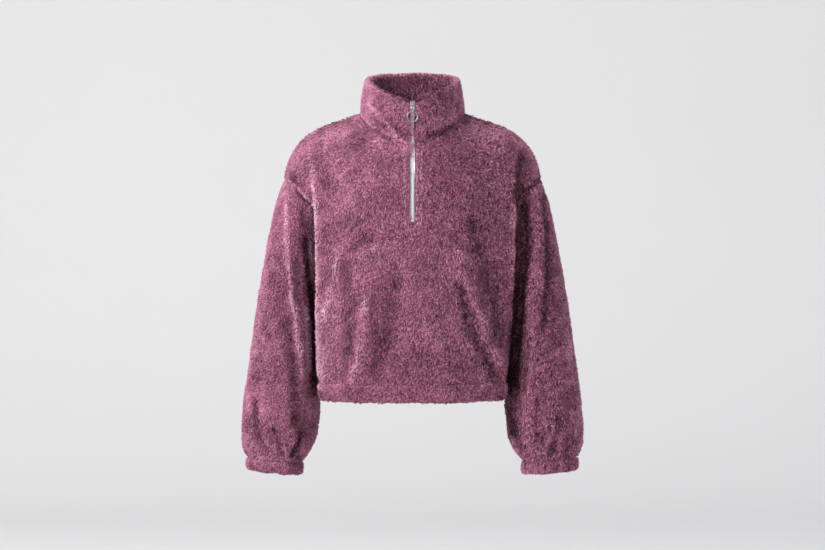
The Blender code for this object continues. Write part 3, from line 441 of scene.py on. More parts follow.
def inside_finish():
    """The knitted back of the cloth: fine ribs of stitches under a short nap."""
    recipe = Recipe("fleece_inside", Roughness=0.9, Sheen_Weight=0.15, Sheen_Roughness=0.6,
                    Specular_IOR_Level=0.18)
    ribs = recipe.bands("X", 260.0, 1.4, **{"Detail": 2.0, "Detail Scale": 3.0})
    courses = recipe.bands("Z", 330.0, 1.0, Detail=1.0)
    nap = recipe.noise(700.0, 3.0, 0.6)
    knit = ribs * courses * 0.6 + nap * 0.6
    recipe.painted(knit, colours().inside, 0.62)
    recipe.bumped(knit, 0.55, 0.0008)
    return recipe.material


def thread_finish(name, colour):
    """Twisted sewing thread."""
    recipe = Recipe(name, Roughness=0.55, Sheen_Weight=0.3, Sheen_Roughness=0.3)
    twist = recipe.bands("DIAGONAL", 900.0, 0.8)
    recipe.painted(twist, colour, 0.55)
    recipe.bumped(twist, 0.5, 0.0003)
    return recipe.material


def tape_finish():
    """Woven tape: fine warp and weft."""
    recipe = Recipe("zip_tape_weave", Roughness=0.72, Sheen_Weight=0.2, Specular_IOR_Level=0.3)
    weave = recipe.bands("X", 620.0, 0.5) * recipe.bands("Z", 480.0, 0.5)
    recipe.painted(weave, colours().tape, 0.88)
    recipe.bumped(weave, 0.5, 0.0003)
    return recipe.material


def teeth_finish():
    """Moulded nylon, slightly clouded."""
    recipe = Recipe("zip_teeth_nylon", Roughness=0.34, Coat_Weight=0.15)
    cloud = recipe.noise(800.0, 2.0)
    recipe.painted(cloud, colours().teeth, 0.82)
    recipe.feed("Roughness", cloud * 0.2 + 0.24)
    return recipe.material


def metal_finish():
    """Plated metal, tumbled smooth, with faint rubs."""
    recipe = Recipe("slider_plating", Metallic=1.0, Roughness=0.3)
    rubs = recipe.noise(1400.0, 3.0, 0.6)
    wear = recipe.noise(260.0, 2.0)
    recipe.painted(wear, colours().metal, 0.78)
    recipe.feed("Roughness", rubs * 0.16 + wear * 0.1 + 0.16)
    recipe.bumped(rubs, 0.15, 0.0002)
    return recipe.material


def floor_finish():
    """Plain pale floor with a barely seen grain."""
    recipe = Recipe("pale_floor", Roughness=0.9, Specular_IOR_Level=0.1)
    recipe.painted(recipe.noise(4.0, 3.0), colours().floor, 0.985)
    return recipe.material


def linked(name, mesh):
    """A new piece of that name, in the scene."""
    item = bpy.data.objects.new(name, mesh)
    bpy.context.collection.objects.link(item)
    return item


def smooth_piece(name, work, material):
    """A new piece from a mesh under construction, shaded smooth."""
    mesh = bpy.data.meshes.new(name)
    work.to_mesh(mesh)
    work.free()
    for polygon in mesh.polygons:
        polygon.use_smooth = True
    mesh.materials.append(material)
    return linked(name, mesh)


def made_once(name, recipe, *arguments):
    """The material of that name, made the first time that it is asked for."""
    found = bpy.data.materials.get(name)
    return found or recipe(*arguments)


def soft_noise(points, size, seed, waves=9):
    """A smooth uneven field from -1 to 1, about that size from one rise to the next."""
    chance = np.random.default_rng(seed)
    field = np.zeros(len(points))
    for _ in range(waves):
        direction = chance.normal(size=3)
        direction *= math.tau / (size * chance.uniform(0.7, 1.6)) / np.linalg.norm(direction)
        field += np.sin(points @ direction + chance.uniform(0, math.tau))
    return np.clip(field / math.sqrt(waves), -1.6, 1.6) / 1.6


def layered(points, layers, seed=0):
    """The sum of soft uneven fields, each given by its size, its strength and its own seed."""
    return sum(soft_noise(points, size, seed + own) * strength for size, strength, own in layers)


def unit(vectors):
    """The same directions at length one."""
    return vectors / np.maximum(np.linalg.norm(vectors, axis=1, keepdims=True), 1e-9)


def seen_at(pixels):
    """The x and z, in metres, of places in the photograph."""
    across, down = np.array(pixels, float).T
    return np.column_stack([(across - PIXEL_MIDDLE) * PIXEL, PIXEL_HEIGHT + (PIXEL_ROW - down) * PIXEL])


def nearness(points, line, width):
    """1 on a line of x, z points and fading to 0 at about twice its width."""
    flat = points[:, [0, 2]]
    gap = np.full(len(points), 9.0)
    for start, end in zip(line[:-1], line[1:]):
        run = end - start
        share = np.clip((flat - start) @ run / (run @ run), 0, 1)
        gap = np.minimum(gap, np.linalg.norm(flat - start - share[:, None] * run, axis=1))
    return np.exp(-(gap / width) ** 2)


# Soft unevenness, as size from one rise to the next, strength and seed: the cloth's height, the turn of the
# nap, and the pile's lightness
WAVER = ((0.050, 0.0008, 5), (0.022, 0.0004, 6))
SWIRLS = ((0.06, 0.9, 0), (0.018, 0.6, 1))
MOTTLE = ((0.045, 0.04, 9), (0.016, 0.03, 12))
# Gathers above the cuffs and at the hem: the height where they begin, and how far down they are at full depth
WRIST_GATHERS = (-0.550, 0.050)
HEM_GATHERS = (-0.470, 0.012)
HEM_HALF = 0.18  # half of the body's width there
GATHER_SHAPE = np.array([1.0, 1.0, 0.22])  # gathers are longer than wide
GATHER_SIZE = 0.017
GATHER_HEIGHT = 0.0012
HOLLOW = -0.5  # a fold this dark is a hollow, and its painted shade darkens the faces beside it too
RIM_ROLL = 0.0060  # how far the collar's rim rolls inward at the sides
RIM_HEIGHT = 0.062
RIM_FADE = 0.022
SEAM_HOLD = 0.007  # how far from a seam the folds reach their full height


def form(points, normals, seams):
    """Height that folds and small wrinkles add, and the painted light and shade along folds and swaths, all
    round.

    Seams hold the cloth down, and the deepest hollows paint shade on the faces beside them too.
    """
    rise = layered(points, WAVER)
    low = np.clip((WRIST_GATHERS[0] - points[:, 2]) / WRIST_GATHERS[1], 0, 1)
    hem = np.clip((HEM_GATHERS[0] - points[:, 2]) / HEM_GATHERS[1], 0, 1) * (np.abs(points[:, 0]) < HEM_HALF)
    gathers = soft_noise(points * GATHER_SHAPE, GATHER_SIZE, 8) * GATHER_HEIGHT
    rise += gathers * np.maximum(low, hem)
    light = np.zeros(len(points))
    uneven = 1.0 + 0.35 * soft_noise(points, 0.030, 7)
    for folds, way, place in ((FRONT_FOLDS, -1, seen_at), (BACK_FOLDS, 1, np.array)):
        facing = normals[:, 1] * way
        seen = np.clip(facing * 1.6 + 0.2, 0, 1) * (facing > -0.15) * uneven
        for line, width, height, lightness in folds:
            near = nearness(points, place(line), width * PIXEL)
            rise += near * seen * height * 0.001
            # painted highlight or painted shade along the fold; a hollow's painted shade reaches the faces
            # beside it too
            light += near * lightness * (seen if lightness > HOLLOW else facing > -0.6)
    ahead = np.clip(-normals[:, 1] * 2, 0, 1)
    # swaths of painted light and painted shade on the faces that look ahead
    for x, y, width, height, lightness in FRONT_PAINTED_LIGHT_AND_SHADE:
        gap = (points[:, [0, 2]] - seen_at([(x, y)])) / (np.array([width, height]) * PIXEL)
        light += lightness * np.exp(-(gap ** 2).sum(axis=1)) * ahead
    gaps = np.array([seams.find_nearest(point)[3] or 0.0 for point in points])
    neck = (np.abs(points[:, 0]) < 0.10) & (points[:, 2] > 0.0)
    inward = np.clip(-(normals[:, 0] * np.sign(points[:, 0])) - 0.2, 0, 1) * neck
    rise += RIM_ROLL * inward * np.exp(-(np.clip(RIM_HEIGHT - points[:, 2], 0, 1) / RIM_FADE) ** 2)
    return rise * np.clip(0.15 + gaps / SEAM_HOLD, 0, 1), light


def welded(node):
    """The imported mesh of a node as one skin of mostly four-sided faces."""
    work = bmesh.new()
    work.from_mesh(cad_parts[node].data)
    bmesh.ops.remove_doubles(work, verts=work.verts, dist=1e-5)
    bmesh.ops.join_triangles(
        work, faces=work.faces, angle_face_threshold=0.9, angle_shape_threshold=1.2)
    work.normal_update()
    work.faces.ensure_lookup_table()
    return work


SHARP = 0.9  # radians between two faces that meet at a cut edge


def smooth_patches(work):
    """Groups of faces that no sharp edge parts, the largest area first."""
    seen = set()
    patches = []
    for start in work.faces:
        if start.index in seen:
            continue
        seen.add(start.index)
        patch = [start]
        for face in patch:
            for edge in face.edges:
                if len(edge.link_faces) != 2 or edge.calc_face_angle(0) > SHARP:
                    continue
                for other in edge.link_faces:
                    if other.index not in seen:
                        seen.add(other.index)
                        patch.append(other)
        patches.append(patch)
    return sorted(patches, key=lambda patch: -sum(face.calc_area() for face in patch))


def skin_of(nodes):
    """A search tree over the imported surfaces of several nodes."""
    points = []
    faces = []
    for node in nodes:
        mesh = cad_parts[node].data
        first = len(points)
        points.extend(vertex.co.copy() for vertex in mesh.vertices)
        faces.extend([first + k for k in polygon.vertices] for polygon in mesh.polygons)
    return BVHTree.FromPolygons(points, faces)


SEAM_REACH = 0.0016  # a face this close to the next piece lies in the seam
ONE_LAYER = ("front", "back", "sleeve_left", "sleeve_right")  # pieces whose knitted back shows inside


def marked_skin(node, near, sides):
    """The node's skin: material 1 on the faces with pile, 2 in the seams, 0 inside; its cut edges creased."""
    work = welded(node)
    for face in work.faces:
        face.material_index = 2
        face.smooth = True
    patches = smooth_patches(work)
    if node in ONE_LAYER:
        for face in patches[1]:
            face.material_index = 0
    for patch in patches[:sides]:
        for face in patch:
            _, facing, _, gap = near.find_nearest(face.calc_center_median())
            face.material_index = 2 if gap < SEAM_REACH and facing.dot(face.normal) < -0.8 else 1
    crease = work.edges.layers.float.new("crease_edge")
    for edge in work.edges:
        if len(edge.link_faces) != 2 or edge.calc_face_angle(0) > SHARP:
            edge[crease] = 1.0
    return work


def subdivided(name, work, levels):
    """A mesh made by rounding the skin that many times."""
    mesh = bpy.data.meshes.new(name)
    work.to_mesh(mesh)
    item = linked(name, mesh)
    rounding = item.modifiers.new("rounding", "SUBSURF")
    rounding.levels = levels
    rounding.render_levels = levels
    bpy.context.view_layer.update()
    made = bpy.data.meshes.new_from_object(item.evaluated_get(bpy.context.evaluated_depsgraph_get()))
    bpy.data.objects.remove(item)
    bpy.data.meshes.remove(mesh)
    made.name = name
    return made


def facings(points, triangles):
    """The points' normals as these triangles shape them, and the triangles' areas."""
    corners = points[triangles]
    across = np.cross(corners[:, 1] - corners[:, 0], corners[:, 2] - corners[:, 0])
    normals = np.zeros_like(points)
    for k in range(3):
        np.add.at(normals, triangles[:, k], across)
    return unit(normals), np.linalg.norm(across, axis=1) / 2


def pile_faces(mesh):
    """A mesh's points and the triangles that carry pile, with their normals and areas."""
    mesh.calc_loop_triangles()
    points = np.empty(len(mesh.vertices) * 3)
    mesh.vertices.foreach_get("co", points)
    points = points.reshape(-1, 3)
    triangles = np.empty(len(mesh.loop_triangles) * 3, int)
    mesh.loop_triangles.foreach_get("vertices", triangles)
    looks = np.empty(len(mesh.loop_triangles), int)
    mesh.loop_triangles.foreach_get("material_index", looks)
    triangles = triangles.reshape(-1, 3)[looks == 1]
    return points, triangles, *facings(points, triangles)


def shade_points(mesh, values):
    """Gives each point of a mesh its lightness, which the materials read."""
    shade = mesh.attributes.new("shade", "FLOAT", "POINT")
    shade.data.foreach_set("value", values.ravel().astype(np.float32))


def cloth_shell(name, work, seams):
    """The knitted cloth: the skin with its pile side drawn in to the ground, which carries the folds' painted
    light and shade.
    """
    mesh = subdivided(name, work, 1)
    points, triangles, normals, _ = pile_faces(mesh)
    pile = np.unique(triangles)
    plain = np.setdiff1d(np.arange(len(points)), pile)
    rise, light = form(points[pile], normals[pile], seams)
    shade = np.empty(len(points))
    # painted shade on the ground: dark in the folds' hollows, from the same painted lightness as the pile
    shade[pile] = np.clip(0.8 + light * 1.2, 0, 1)
    shift = normals[pile] * rise[:, None]
    tree = KDTree(len(pile))
    for number, index in enumerate(pile):
        tree.insert(points[index], number)
    tree.balance()
    nearest = [tree.find(point)[1] for point in points[plain]]
    points[plain] += shift[nearest]
    shade[plain] = shade[pile][nearest]
    points[pile] += shift - normals[pile] * sizes().pile_depth
    mesh.vertices.foreach_set("co", points.ravel())
    shade_points(mesh, shade)
    mesh.materials.clear()
    mesh.materials.append(made_once("fleece_inside", inside_finish))
    for _ in range(2):
        mesh.materials.append(made_once("fleece_ground", ground_finish))
    mesh.update()
    return linked(name, mesh)


def spread_roots(work, seams, density, seed):
    """Roots of the locks, evenly over the pile's faces: points, normals and the painted light and shade."""
    mesh = subdivided("roots", work, 2)
    points, triangles, normals, areas = pile_faces(mesh)
    bpy.data.meshes.remove(mesh)
    moved = np.unique(triangles)
    rise, light = form(points[moved], normals[moved], seams)
    points[moved] += normals[moved] * rise[:, None]
    normals, _ = facings(points, triangles)
    lightness = np.zeros((len(points), 1))
    lightness[moved, 0] = light
    total = np.cumsum(areas)
    count = int(total[-1] * density)
    chance = np.random.default_rng(seed)
    marks = (np.arange(count) + chance.random(count)) * total[-1] / count
    picked = np.minimum(np.searchsorted(total, marks), len(areas) - 1)
    share = chance.random((count, 2))
    over = share.sum(axis=1) > 1
    share[over] = 1 - share[over]
    weights = np.column_stack([1 - share.sum(axis=1), share])[..., None]
    corners = triangles[picked]
    fields = (points, normals, lightness)
    roots, facing, light = ((field[corners] * weights).sum(axis=1) for field in fields)
    return roots, unit(facing), light[:, 0]


def clumps(roots, seed):
    """For each root, the number of the lock that its clump gathers to."""
    stretched = roots * CLUMP_SHAPE
    chance = np.random.default_rng(seed)
    heads = chance.choice(len(roots), len(roots) // CLUMP_OF, replace=False)
    tree = KDTree(len(heads))
    for number, head in enumerate(heads):
        tree.insert(stretched[head], int(head))
    tree.balance()
    return np.array([tree.find(point)[1] for point in stretched])


def nap_direction(roots, normals, seed):
    """Which way the pile lies: down, outwards on the shoulders, back at the sides, in soft swirls."""
    ahead = np.abs(normals[:, 1])
    turn = layered(roots, SWIRLS, seed)
    turn *= 0.35 + 0.65 * np.clip(ahead * 1.5, 0, 1)
    down = np.zeros_like(roots)
    down[:, 0] = np.sign(roots[:, 0]) * np.clip(normals[:, 2] - 0.15, 0, 1) * 3
    down[:, 1] = np.clip((0.35 - normals[:, 1]) * 3, -1, 1) * np.clip(1.4 - ahead * 2, 0, 1) * 0.8
    down[:, 2] = -1.0
    down -= normals * (down * normals).sum(axis=1, keepdims=True)
    down = unit(down + 1e-6)
    across = np.cross(normals, down)
    return down * np.cos(turn)[:, None] + across * np.sin(turn)[:, None]


FRONT_HALF = -0.05  # roots with a lesser y are on the front
SLIT_HEIGHTS = (-0.1985, 0.0075)
SLIT_REACH = 0.0095  # pile nearer to the middle than this ends at the slit
COVER_REACH = 0.0066  # pile nearer than this leans over the slit where it is narrow
COVER_LENGTH = 0.0050  # how far it leans
FULL_SLIT = 0.0034  # half width from which nothing leans over it


def clear_of_zip(roots, tips):
    """Ends the pile beside the zip at the edge that the slit leaves clear."""
    table = np.array(ZIP_CLEAR)[::-1]
    half = np.interp(roots[:, 2], table[:, 0], table[:, 1])
    aside = np.abs(roots[:, 0])
    close = (aside < SLIT_REACH) & (roots[:, 1] < FRONT_HALF)
    close &= (roots[:, 2] > SLIT_HEIGHTS[0]) & (roots[:, 2] < SLIT_HEIGHTS[1])
    side = np.where(roots[:, 0] < 0, -1.0, 1.0)
    reach = np.maximum(half, aside - COVER_LENGTH + np.minimum(half, 0))
    covers = close & (half < FULL_SLIT) & (aside < COVER_REACH)
    tips[covers, 0] = (side * reach)[covers]
    inside = close & (tips[:, 0] * side < half)
    tips[inside, 0] = (side * half)[inside]
    return tips


STITCH_HEAD = -0.040  # height where the stitching beside the zip begins
STITCH_FOOT = -0.2035  # height of the row of stitches below the zip
STITCH_WIDTH = 0.0016  # half width of the channel that it draws into the pile


def stitch_channel(roots):
    """1 on the line of stitching beside and below the zip, and 0 away from it."""
    offset = sizes().stitch_offset
    ahead = (roots[:, 1] < FRONT_HALF) & (roots[:, 2] < STITCH_HEAD)
    beside = np.abs(np.abs(roots[:, 0]) - offset)
    below = np.abs(roots[:, 2] - STITCH_FOOT)
    beside = np.where(roots[:, 2] > STITCH_FOOT, beside, 1.0)
    below = np.where(np.abs(roots[:, 0]) < offset, below, 1.0)
    return np.exp(-(np.minimum(beside, below) / STITCH_WIDTH) ** 2) * ahead


RIDGE = 0.20  # how far a lock's sides drop from its ridge, as a share of its width
SIDE_TURN = 0.55  # how far the normals of its sides turn outward
# How much of the root's painted shade each point of a lock takes: root, side, tip and side
DARKNESS = np.array([1.0, 0.35, 0.0, 0.35])


def lock_mesh(name, roots, tips, normals, widths, shades, tilt, upright):
    """Ridged locks from roots to tips, in one mesh, with the pile's lightness on their points.

    Their points take most of their normal from the cloth, so that the folds shade the pile softly; the
    upright ones keep their own.
    """
    count = len(roots)
    lean = unit(tips - roots)
    across = unit(np.cross(normals, lean) + 1e-6)
    up = np.cross(lean, across)
    points = np.empty((count, 4, 3))
    middle = roots * 0.45 + tips * 0.55 - up * widths[:, None] * RIDGE
    points[:, 0] = roots
    points[:, 1] = middle + across * widths[:, None] / 2
    points[:, 2] = tips
    points[:, 3] = middle - across * widths[:, None] / 2
    corners = np.array([[0, 2, 1], [0, 3, 2]])
    triangles = (corners[None] + 4 * np.arange(count)[:, None, None]).reshape(-1)
    mesh = bpy.data.meshes.new(name)
    mesh.vertices.add(count * 4)
    mesh.vertices.foreach_set("co", points.ravel())
    mesh.loops.add(count * 6)
    mesh.loops.foreach_set("vertex_index", triangles)
    mesh.polygons.add(count * 2)
    mesh.polygons.foreach_set("loop_start", np.arange(0, count * 6, 3))
    mesh.polygons.foreach_set("use_smooth", np.ones(count * 2, bool))
    mesh.update()
    facing = np.repeat((np.where(upright[:, None], up, normals) + tilt)[:, None], 4, axis=1)
    facing[:, 1] += across * SIDE_TURN
    facing[:, 3] -= across * SIDE_TURN
    mesh.normals_split_custom_set_from_vertices(unit(facing.reshape(-1, 3)))
    # painted shade darkens each lock towards its root
    shade_points(mesh, np.repeat(shades[:, None], 4, axis=1) - ROOT_SHADE * DARKNESS)
    mesh.materials.append(made_once("fleece_pile", pile_finish))
    return linked(name, mesh)


def collar_parts(roots, normals):
    """For the collar's roots: the way out from its middle, how near the rim, and how far inside."""
    out = roots - np.array([0.0, roots[:, 1].mean(), 0.0])
    out[:, 2] = 0.0
    out = unit(out)
    rim = np.clip((normals[:, 2] - 0.30) * 2.0, 0, 1)
    inside = np.clip(-(normals * out).sum(axis=1) * 2.0, 0, 1)
    return out, rim, inside


CLUMP_OF = 4  # locks in a clump
CLUMP_SHAPE = np.array([1.0, 1.0, 0.32])  # clumps are longer than wide
CLUMP_CORE = 0.0030  # how far from its head a lock still counts as the clump's core
PILE_TOP = 0.0008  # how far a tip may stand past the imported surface
UPRIGHT_SHARE = 0.10  # locks that stand up out of the nap
UPRIGHT_EXTRA = 0.0013
STRAY = 0.0006  # how far a tip strays from its place
SHADE = 0.46  # lightness of a middling lock
ROOT_SHADE = 0.42  # how much darker its root is, as painted shade deep in the pile


def grown_pile(name, work, seams, density, seed, is_collar):
    """The pile of one piece: locks rooted in its ground, drawn together in clumps."""
    size = sizes()
    surface, normals, light = spread_roots(work, seams, density, seed)
    chance = np.random.default_rng(seed + 1)
    count = len(surface)
    heads = clumps(surface, seed + 2)
    height = size.pile_depth * (0.80 + 0.3 * chance.random(count))
    height *= 0.84 + 0.3 * chance.random(count)[heads]
    height *= 1 - 0.62 * stitch_channel(surface)
    roots = surface - normals * size.pile_depth
    nap = nap_direction(surface, normals, seed + 5)
    strength = size.lean * (0.6 + 0.6 * chance.random(count)[heads])
    limit = np.full(count, PILE_TOP)
    upright = chance.random(count) < UPRIGHT_SHARE
    strength[upright] *= 0.5
    height[upright] += UPRIGHT_EXTRA
    limit[upright] += 0.0012
    shades = np.full(count, SHADE)
    if is_collar:
        out, rim, inside = collar_parts(surface, normals)
        nap = unit(nap * (1 - rim)[:, None] + (out * 0.7 + np.array([0.0, 0.0, 0.7])) * rim[:, None])
        height += 0.0009 * rim
        limit += 0.0014 * rim
        strength *= 1 - 0.35 * inside
        # painted highlight on the collar's rim and painted shade inside it
        shades += 0.10 * rim - 0.14 * inside
    target = surface[heads] + nap[heads] * strength[:, None]
    own = surface + nap * strength[:, None]
    tips = own * (1 - size.clump) + target * size.clump
    stray = chance.normal(size=(count, 3)) * STRAY
    tips += stray - normals * (size.pile_depth - height)[:, None]
    tips -= normals * np.clip(((tips - surface) * normals).sum(axis=1) - limit, 0, None)[:, None]
    tips = clear_of_zip(surface, tips)
    spread = np.linalg.norm(surface - surface[heads], axis=1)
    core = np.clip(1 - spread / CLUMP_CORE, 0, 1)
    # painted contrast: lock-to-lock lightness varies more towards +x, standing in for grazing light on that
    # side
    painted_side_contrast = 1.0 + 0.28 * np.clip(surface[:, 0] / 0.12, -1, 1)
    shades += 0.12 * (core - 0.35)
    shades += (0.095 * chance.normal(size=count)[heads] + 0.035 * chance.normal(size=count)) * painted_side_contrast
    # the folds' and swaths' painted light and shade, with a random mottle
    shades += light + layered(surface, MOTTLE, seed)
    widths = size.lock_width * (0.8 + 0.4 * chance.random(count))
    tilt = chance.normal(size=(count, 3))[heads] * 0.13 + chance.normal(size=(count, 3)) * 0.06
    tilt += unit(tips - roots) * 0.10
    return lock_mesh(name, roots, tips, normals, widths, np.clip(shades, 0.0, 1.0), tilt, upright)


def dress(node, neighbours, sides, density, seed):
    """Builds one cloth piece and its pile, and seats both on the garment."""
    seams = skin_of(neighbours)
    work = marked_skin(node, seams, sides)
    cloth = cloth_shell(node + "_cloth", work, seams)
    pile = grown_pile(node + "_pile", work, seams, density, seed, node == "collar")
    work.free()
    for item in (cloth, pile):
        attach(item, GARMENT)
    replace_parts(cloth, node)
    return cloth, pile


class GARMENT_OT_panels(bpy.types.Operator):
    """Cuts and dresses the front and back panels"""

    bl_idname = "garment.panels"
    bl_label = "Front and back"

    def execute(self, context):
        for node, other, length, seed in (("front", "back", 0.50, 11), ("back", "front", 0.52, 21)):
            near = [other, "sleeve_left", "sleeve_right", "collar", "hem_casing"]
            cloth, pile = dress(node, near, 1, sizes().body_density, seed)
        return {"FINISHED"}


class GARMENT_OT_sleeves(bpy.types.Operator):
    """Cuts and dresses the two sleeves"""

    bl_idname = "garment.sleeves"
    bl_label = "Sleeves"

    def execute(self, context):
        for side, seed in (("left", 31), ("right", 41)):
            near = ["front", "back", "cuff_" + side]
            cloth, pile = dress("sleeve_" + side, near, 1, sizes().sleeve_density, seed)
        return {"FINISHED"}


class GARMENT_OT_collar(bpy.types.Operator):
    """Cuts and dresses the stand-up collar"""

    bl_idname = "garment.collar"
    bl_label = "Collar"

    def execute(self, context):
        cloth, pile = dress("collar", ["front", "back"], 1, sizes().trim_density, 51)
        return {"FINISHED"}


class GARMENT_OT_casings(bpy.types.Operator):
    """Cuts and dresses the hem casing and the two cuffs"""

    bl_idname = "garment.casings"
    bl_label = "Hem and cuffs"

    def execute(self, context):
        cloth, pile = dress("hem_casing", ["front", "back"], 2, sizes().trim_density, 61)
        for side, seed in (("left", 71), ("right", 81)):
            cloth, pile = dress("cuff_" + side, ["sleeve_" + side], 1, sizes().trim_density, seed)
        return {"FINISHED"}


EDGE_BAND = 0.0004  # points this near the middle lie on a row of teeth's inner edge
EDGE_STEP = 0.003  # least height from one of them to the next


def edge_line(node):
    """Heights and depths of the front of a row of teeth, from the points of its inner edge."""
    points = np.array([vertex.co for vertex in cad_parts[node].data.vertices])
    band = points[np.abs(points[:, 0]) <= EDGE_BAND]
    rows = []
    for height in np.unique(np.round(band[:, 2], 4)):
        if not rows or height - rows[-1][0] > EDGE_STEP:
            row = band[np.abs(band[:, 2] - height) < 0.0006]
            rows.append((height, row[:, 1].min()))
    return np.array(rows)


class GARMENT_OT_zip(bpy.types.Operator):
    """Builds the zip's teeth and finishes its tapes, slider, link and ring"""

    bl_idname = "garment.zip"
    bl_label = "Zip"

    def execute(self, context):
        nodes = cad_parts
        for side, sign in (("left", 1), ("right", -1)):
            low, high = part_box("zip_teeth_" + side)
            item = teeth_row("zip_teeth_rows_" + side, "zip_teeth_" + side, sign, low, high)
            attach(item, GARMENT)
            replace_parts(item, "zip_teeth_" + side)
            give(nodes["zip_tape_" + side], made_once("zip_tape_weave", tape_finish))
        for name in ("zip_slider", "pull_link", "pull_ring"):
            give(nodes[name], made_once("slider_plating", metal_finish))
        return {"FINISHED"}


def give(item, material):
    """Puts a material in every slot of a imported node."""
    for slot in item.material_slots:
        slot.material = material


def bevelled_block(work, centre, half, slope, bevel):
    """One small block with rounded edges, its front tipped by slope along z."""
    made = bmesh.ops.create_cube(work, size=2.0)["verts"]
    for vertex in made:
        x, y, z = vertex.co
        vertex.co = (centre[0] + x * half[0], centre[1] + y * half[1] + z * half[2] * slope,
                     centre[2] + z * half[2])
    edges = {edge for vertex in made for edge in vertex.link_edges}
    bmesh.ops.bevel(work, geom=list(edges), offset=bevel, segments=2, affect="EDGES", profile=0.6)


# The head and the foot of a tooth: how far its middle lies aside of the zip's and behind the front face, half
# its width and depth, half its height as a share of the pitch, and its bevel
TOOTH = (
    (0.00085, 0.00105, 0.00125, 0.00095, 0.235, 0.00018),
    (0.00180, 0.00110, 0.00028, 0.00105, 0.420, 0.00014),
)


def teeth_row(name, node, sign, low, high):
    """Half of the closed teeth: blocks one pitch apart, reaching past the middle between the others."""
    rows = edge_line(node)
    pitch = sizes().tooth_pitch
    work = bmesh.new()
    start = low.z + pitch * (0.5 if sign > 0 else 1.0)
    for height in np.arange(start, high.z - pitch * 0.3, pitch):
        front = np.interp(height, rows[:, 0], rows[:, 1])
        slope = (np.interp(height + 0.004, rows[:, 0], rows[:, 1]) - front) / 0.004
        for aside, behind, width, depth, share, bevel in TOOTH:
            bevelled_block(work, (sign * aside, front + behind, height), (width, depth, pitch * share),
                           slope, bevel)
    return smooth_piece(name, work, made_once("zip_teeth_nylon", teeth_finish))


def thread_run(work, start, end, radius, arch, normal, sides=6, steps=5):
    """One stitch: a thread that dives in at both ends and arches between them."""
    start, end, normal = Vector(start), Vector(end), Vector(normal)
    rings = []
    along = (end - start).normalized()
    across = along.cross(normal).normalized()
    for step in range(steps + 1):
        share = step / steps
        lift = math.sin(share * math.pi) * arch
        thick = radius * (0.45 + 0.55 * math.sin(share * math.pi) ** 0.5)
        centre = start.lerp(end, share) + normal * lift
        ring = []
        for side in range(sides):
            turn = math.tau * side / sides
            spoke = across * math.cos(turn) + normal * math.sin(turn)
            ring.append(work.verts.new(centre + spoke * thick))
        rings.append(ring)
    for lower, upper in zip(rings, rings[1:]):
        for k in range(sides):
            work.faces.new((lower[k], lower[(k + 1) % sides], upper[(k + 1) % sides], upper[k]))
    work.faces.new(rings[0][::-1])
    work.faces.new(rings[-1])


def thread_piece(name, work, material):
    """Turns stitches into a piece on the garment."""
    bmesh.ops.recalc_face_normals(work, faces=work.faces)
    item = smooth_piece(name, work, material)
    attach(item, GARMENT)
    return item


class GARMENT_OT_stitching(bpy.types.Operator):
    """Sews the line of stitches beside and below the zip, and the tack at its foot"""

    bl_idname = "garment.stitching"
    bl_label = "Stitching"

    def execute(self, context):
        skin = skin_of(["front"])
        work = bmesh.new()
        offset, length = sizes().stitch_offset, sizes().stitch_length
        step = length * 1.25
        for z in np.arange(STITCH_HEAD - 0.010, STITCH_FOOT, -step):
            for x in (-offset, offset):
                sew(work, skin, (x, z), (x, z - length))
        for x in np.arange(-offset, offset - 0.001, step):
            sew(work, skin, (x, STITCH_FOOT), (x + length, STITCH_FOOT))
        thread = made_once("sewing_thread", thread_finish, "sewing_thread", colours().thread)
        thread_piece("zip_stitching", work, thread)
        low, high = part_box("bar_tack")
        tack = bmesh.new()
        strands = 11
        inset = 0.0003
        radius = (high.x - low.x) / strands * 0.62
        for k in range(strands):
            x = low.x + radius + (high.x - low.x - 2 * radius) * k / (strands - 1)
            drift = 0.0003 * math.sin(k * 2.4)
            start = (x, low.y + 0.0010, low.z + inset + drift)
            end = (x + drift, low.y + 0.0010, high.z - inset)
            thread_run(tack, start, end, radius, 0.0007, (0, -1, 0))
        thread = made_once("tack_thread", thread_finish, "tack_thread", colours().tack)
        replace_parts(thread_piece("bar_tack_threads", tack, thread), "bar_tack")
        return {"FINISHED"}


def sew(work, skin, start, end):
    """Lays one stitch on the front's ground from x, z to x, z."""
    ends = []
    for x, z in (start, end):
        place, normal, _, _ = skin.ray_cast(Vector((x, -0.4, z)), Vector((0, 1, 0)))
        if place is None:
            raise RuntimeError("a stitch misses the front panel")
        ends.append(place - normal * 0.0030)
    thread_run(work, ends[0], ends[1], 0.00032, 0.0006, (0, -1, 0))


GARMENT_MIDDLE = (0.0, 0.0, -0.28)
WALL_MIDDLE = (0.0, 3.4, -0.2)
# Soft square lamps: name, place, what each faces, side and watts
LAMPS = (
    ("key_softbox", (-2.2, -1.9, 1.1), GARMENT_MIDDLE, 1.2, 140.0),
    ("fill_softbox", (2.2, -2.8, 0.3), GARMENT_MIDDLE, 2.2, 30.0),
    ("top_softbox", (-0.2, 0.4, 2.2), GARMENT_MIDDLE, 1.6, 35.0),
    ("wall_wash_left", (-2.4, 0.8, 0.6), WALL_MIDDLE, 2.4, 20.0),
    ("wall_wash_right", (2.4, 0.8, 0.6), WALL_MIDDLE, 2.4, 20.0),
)
DAYLIGHT = (0.92, 0.94, 1.0, 1.0)
DAYLIGHT_STRENGTH = 0.58
FLOOR_HEIGHT = -1.05
FLOOR_FRONT = -6.0
FLOOR_HALF = 5.0
CURVE_START = 2.2
CURVE_RADIUS = 1.2
WALL_TOP = 0.48


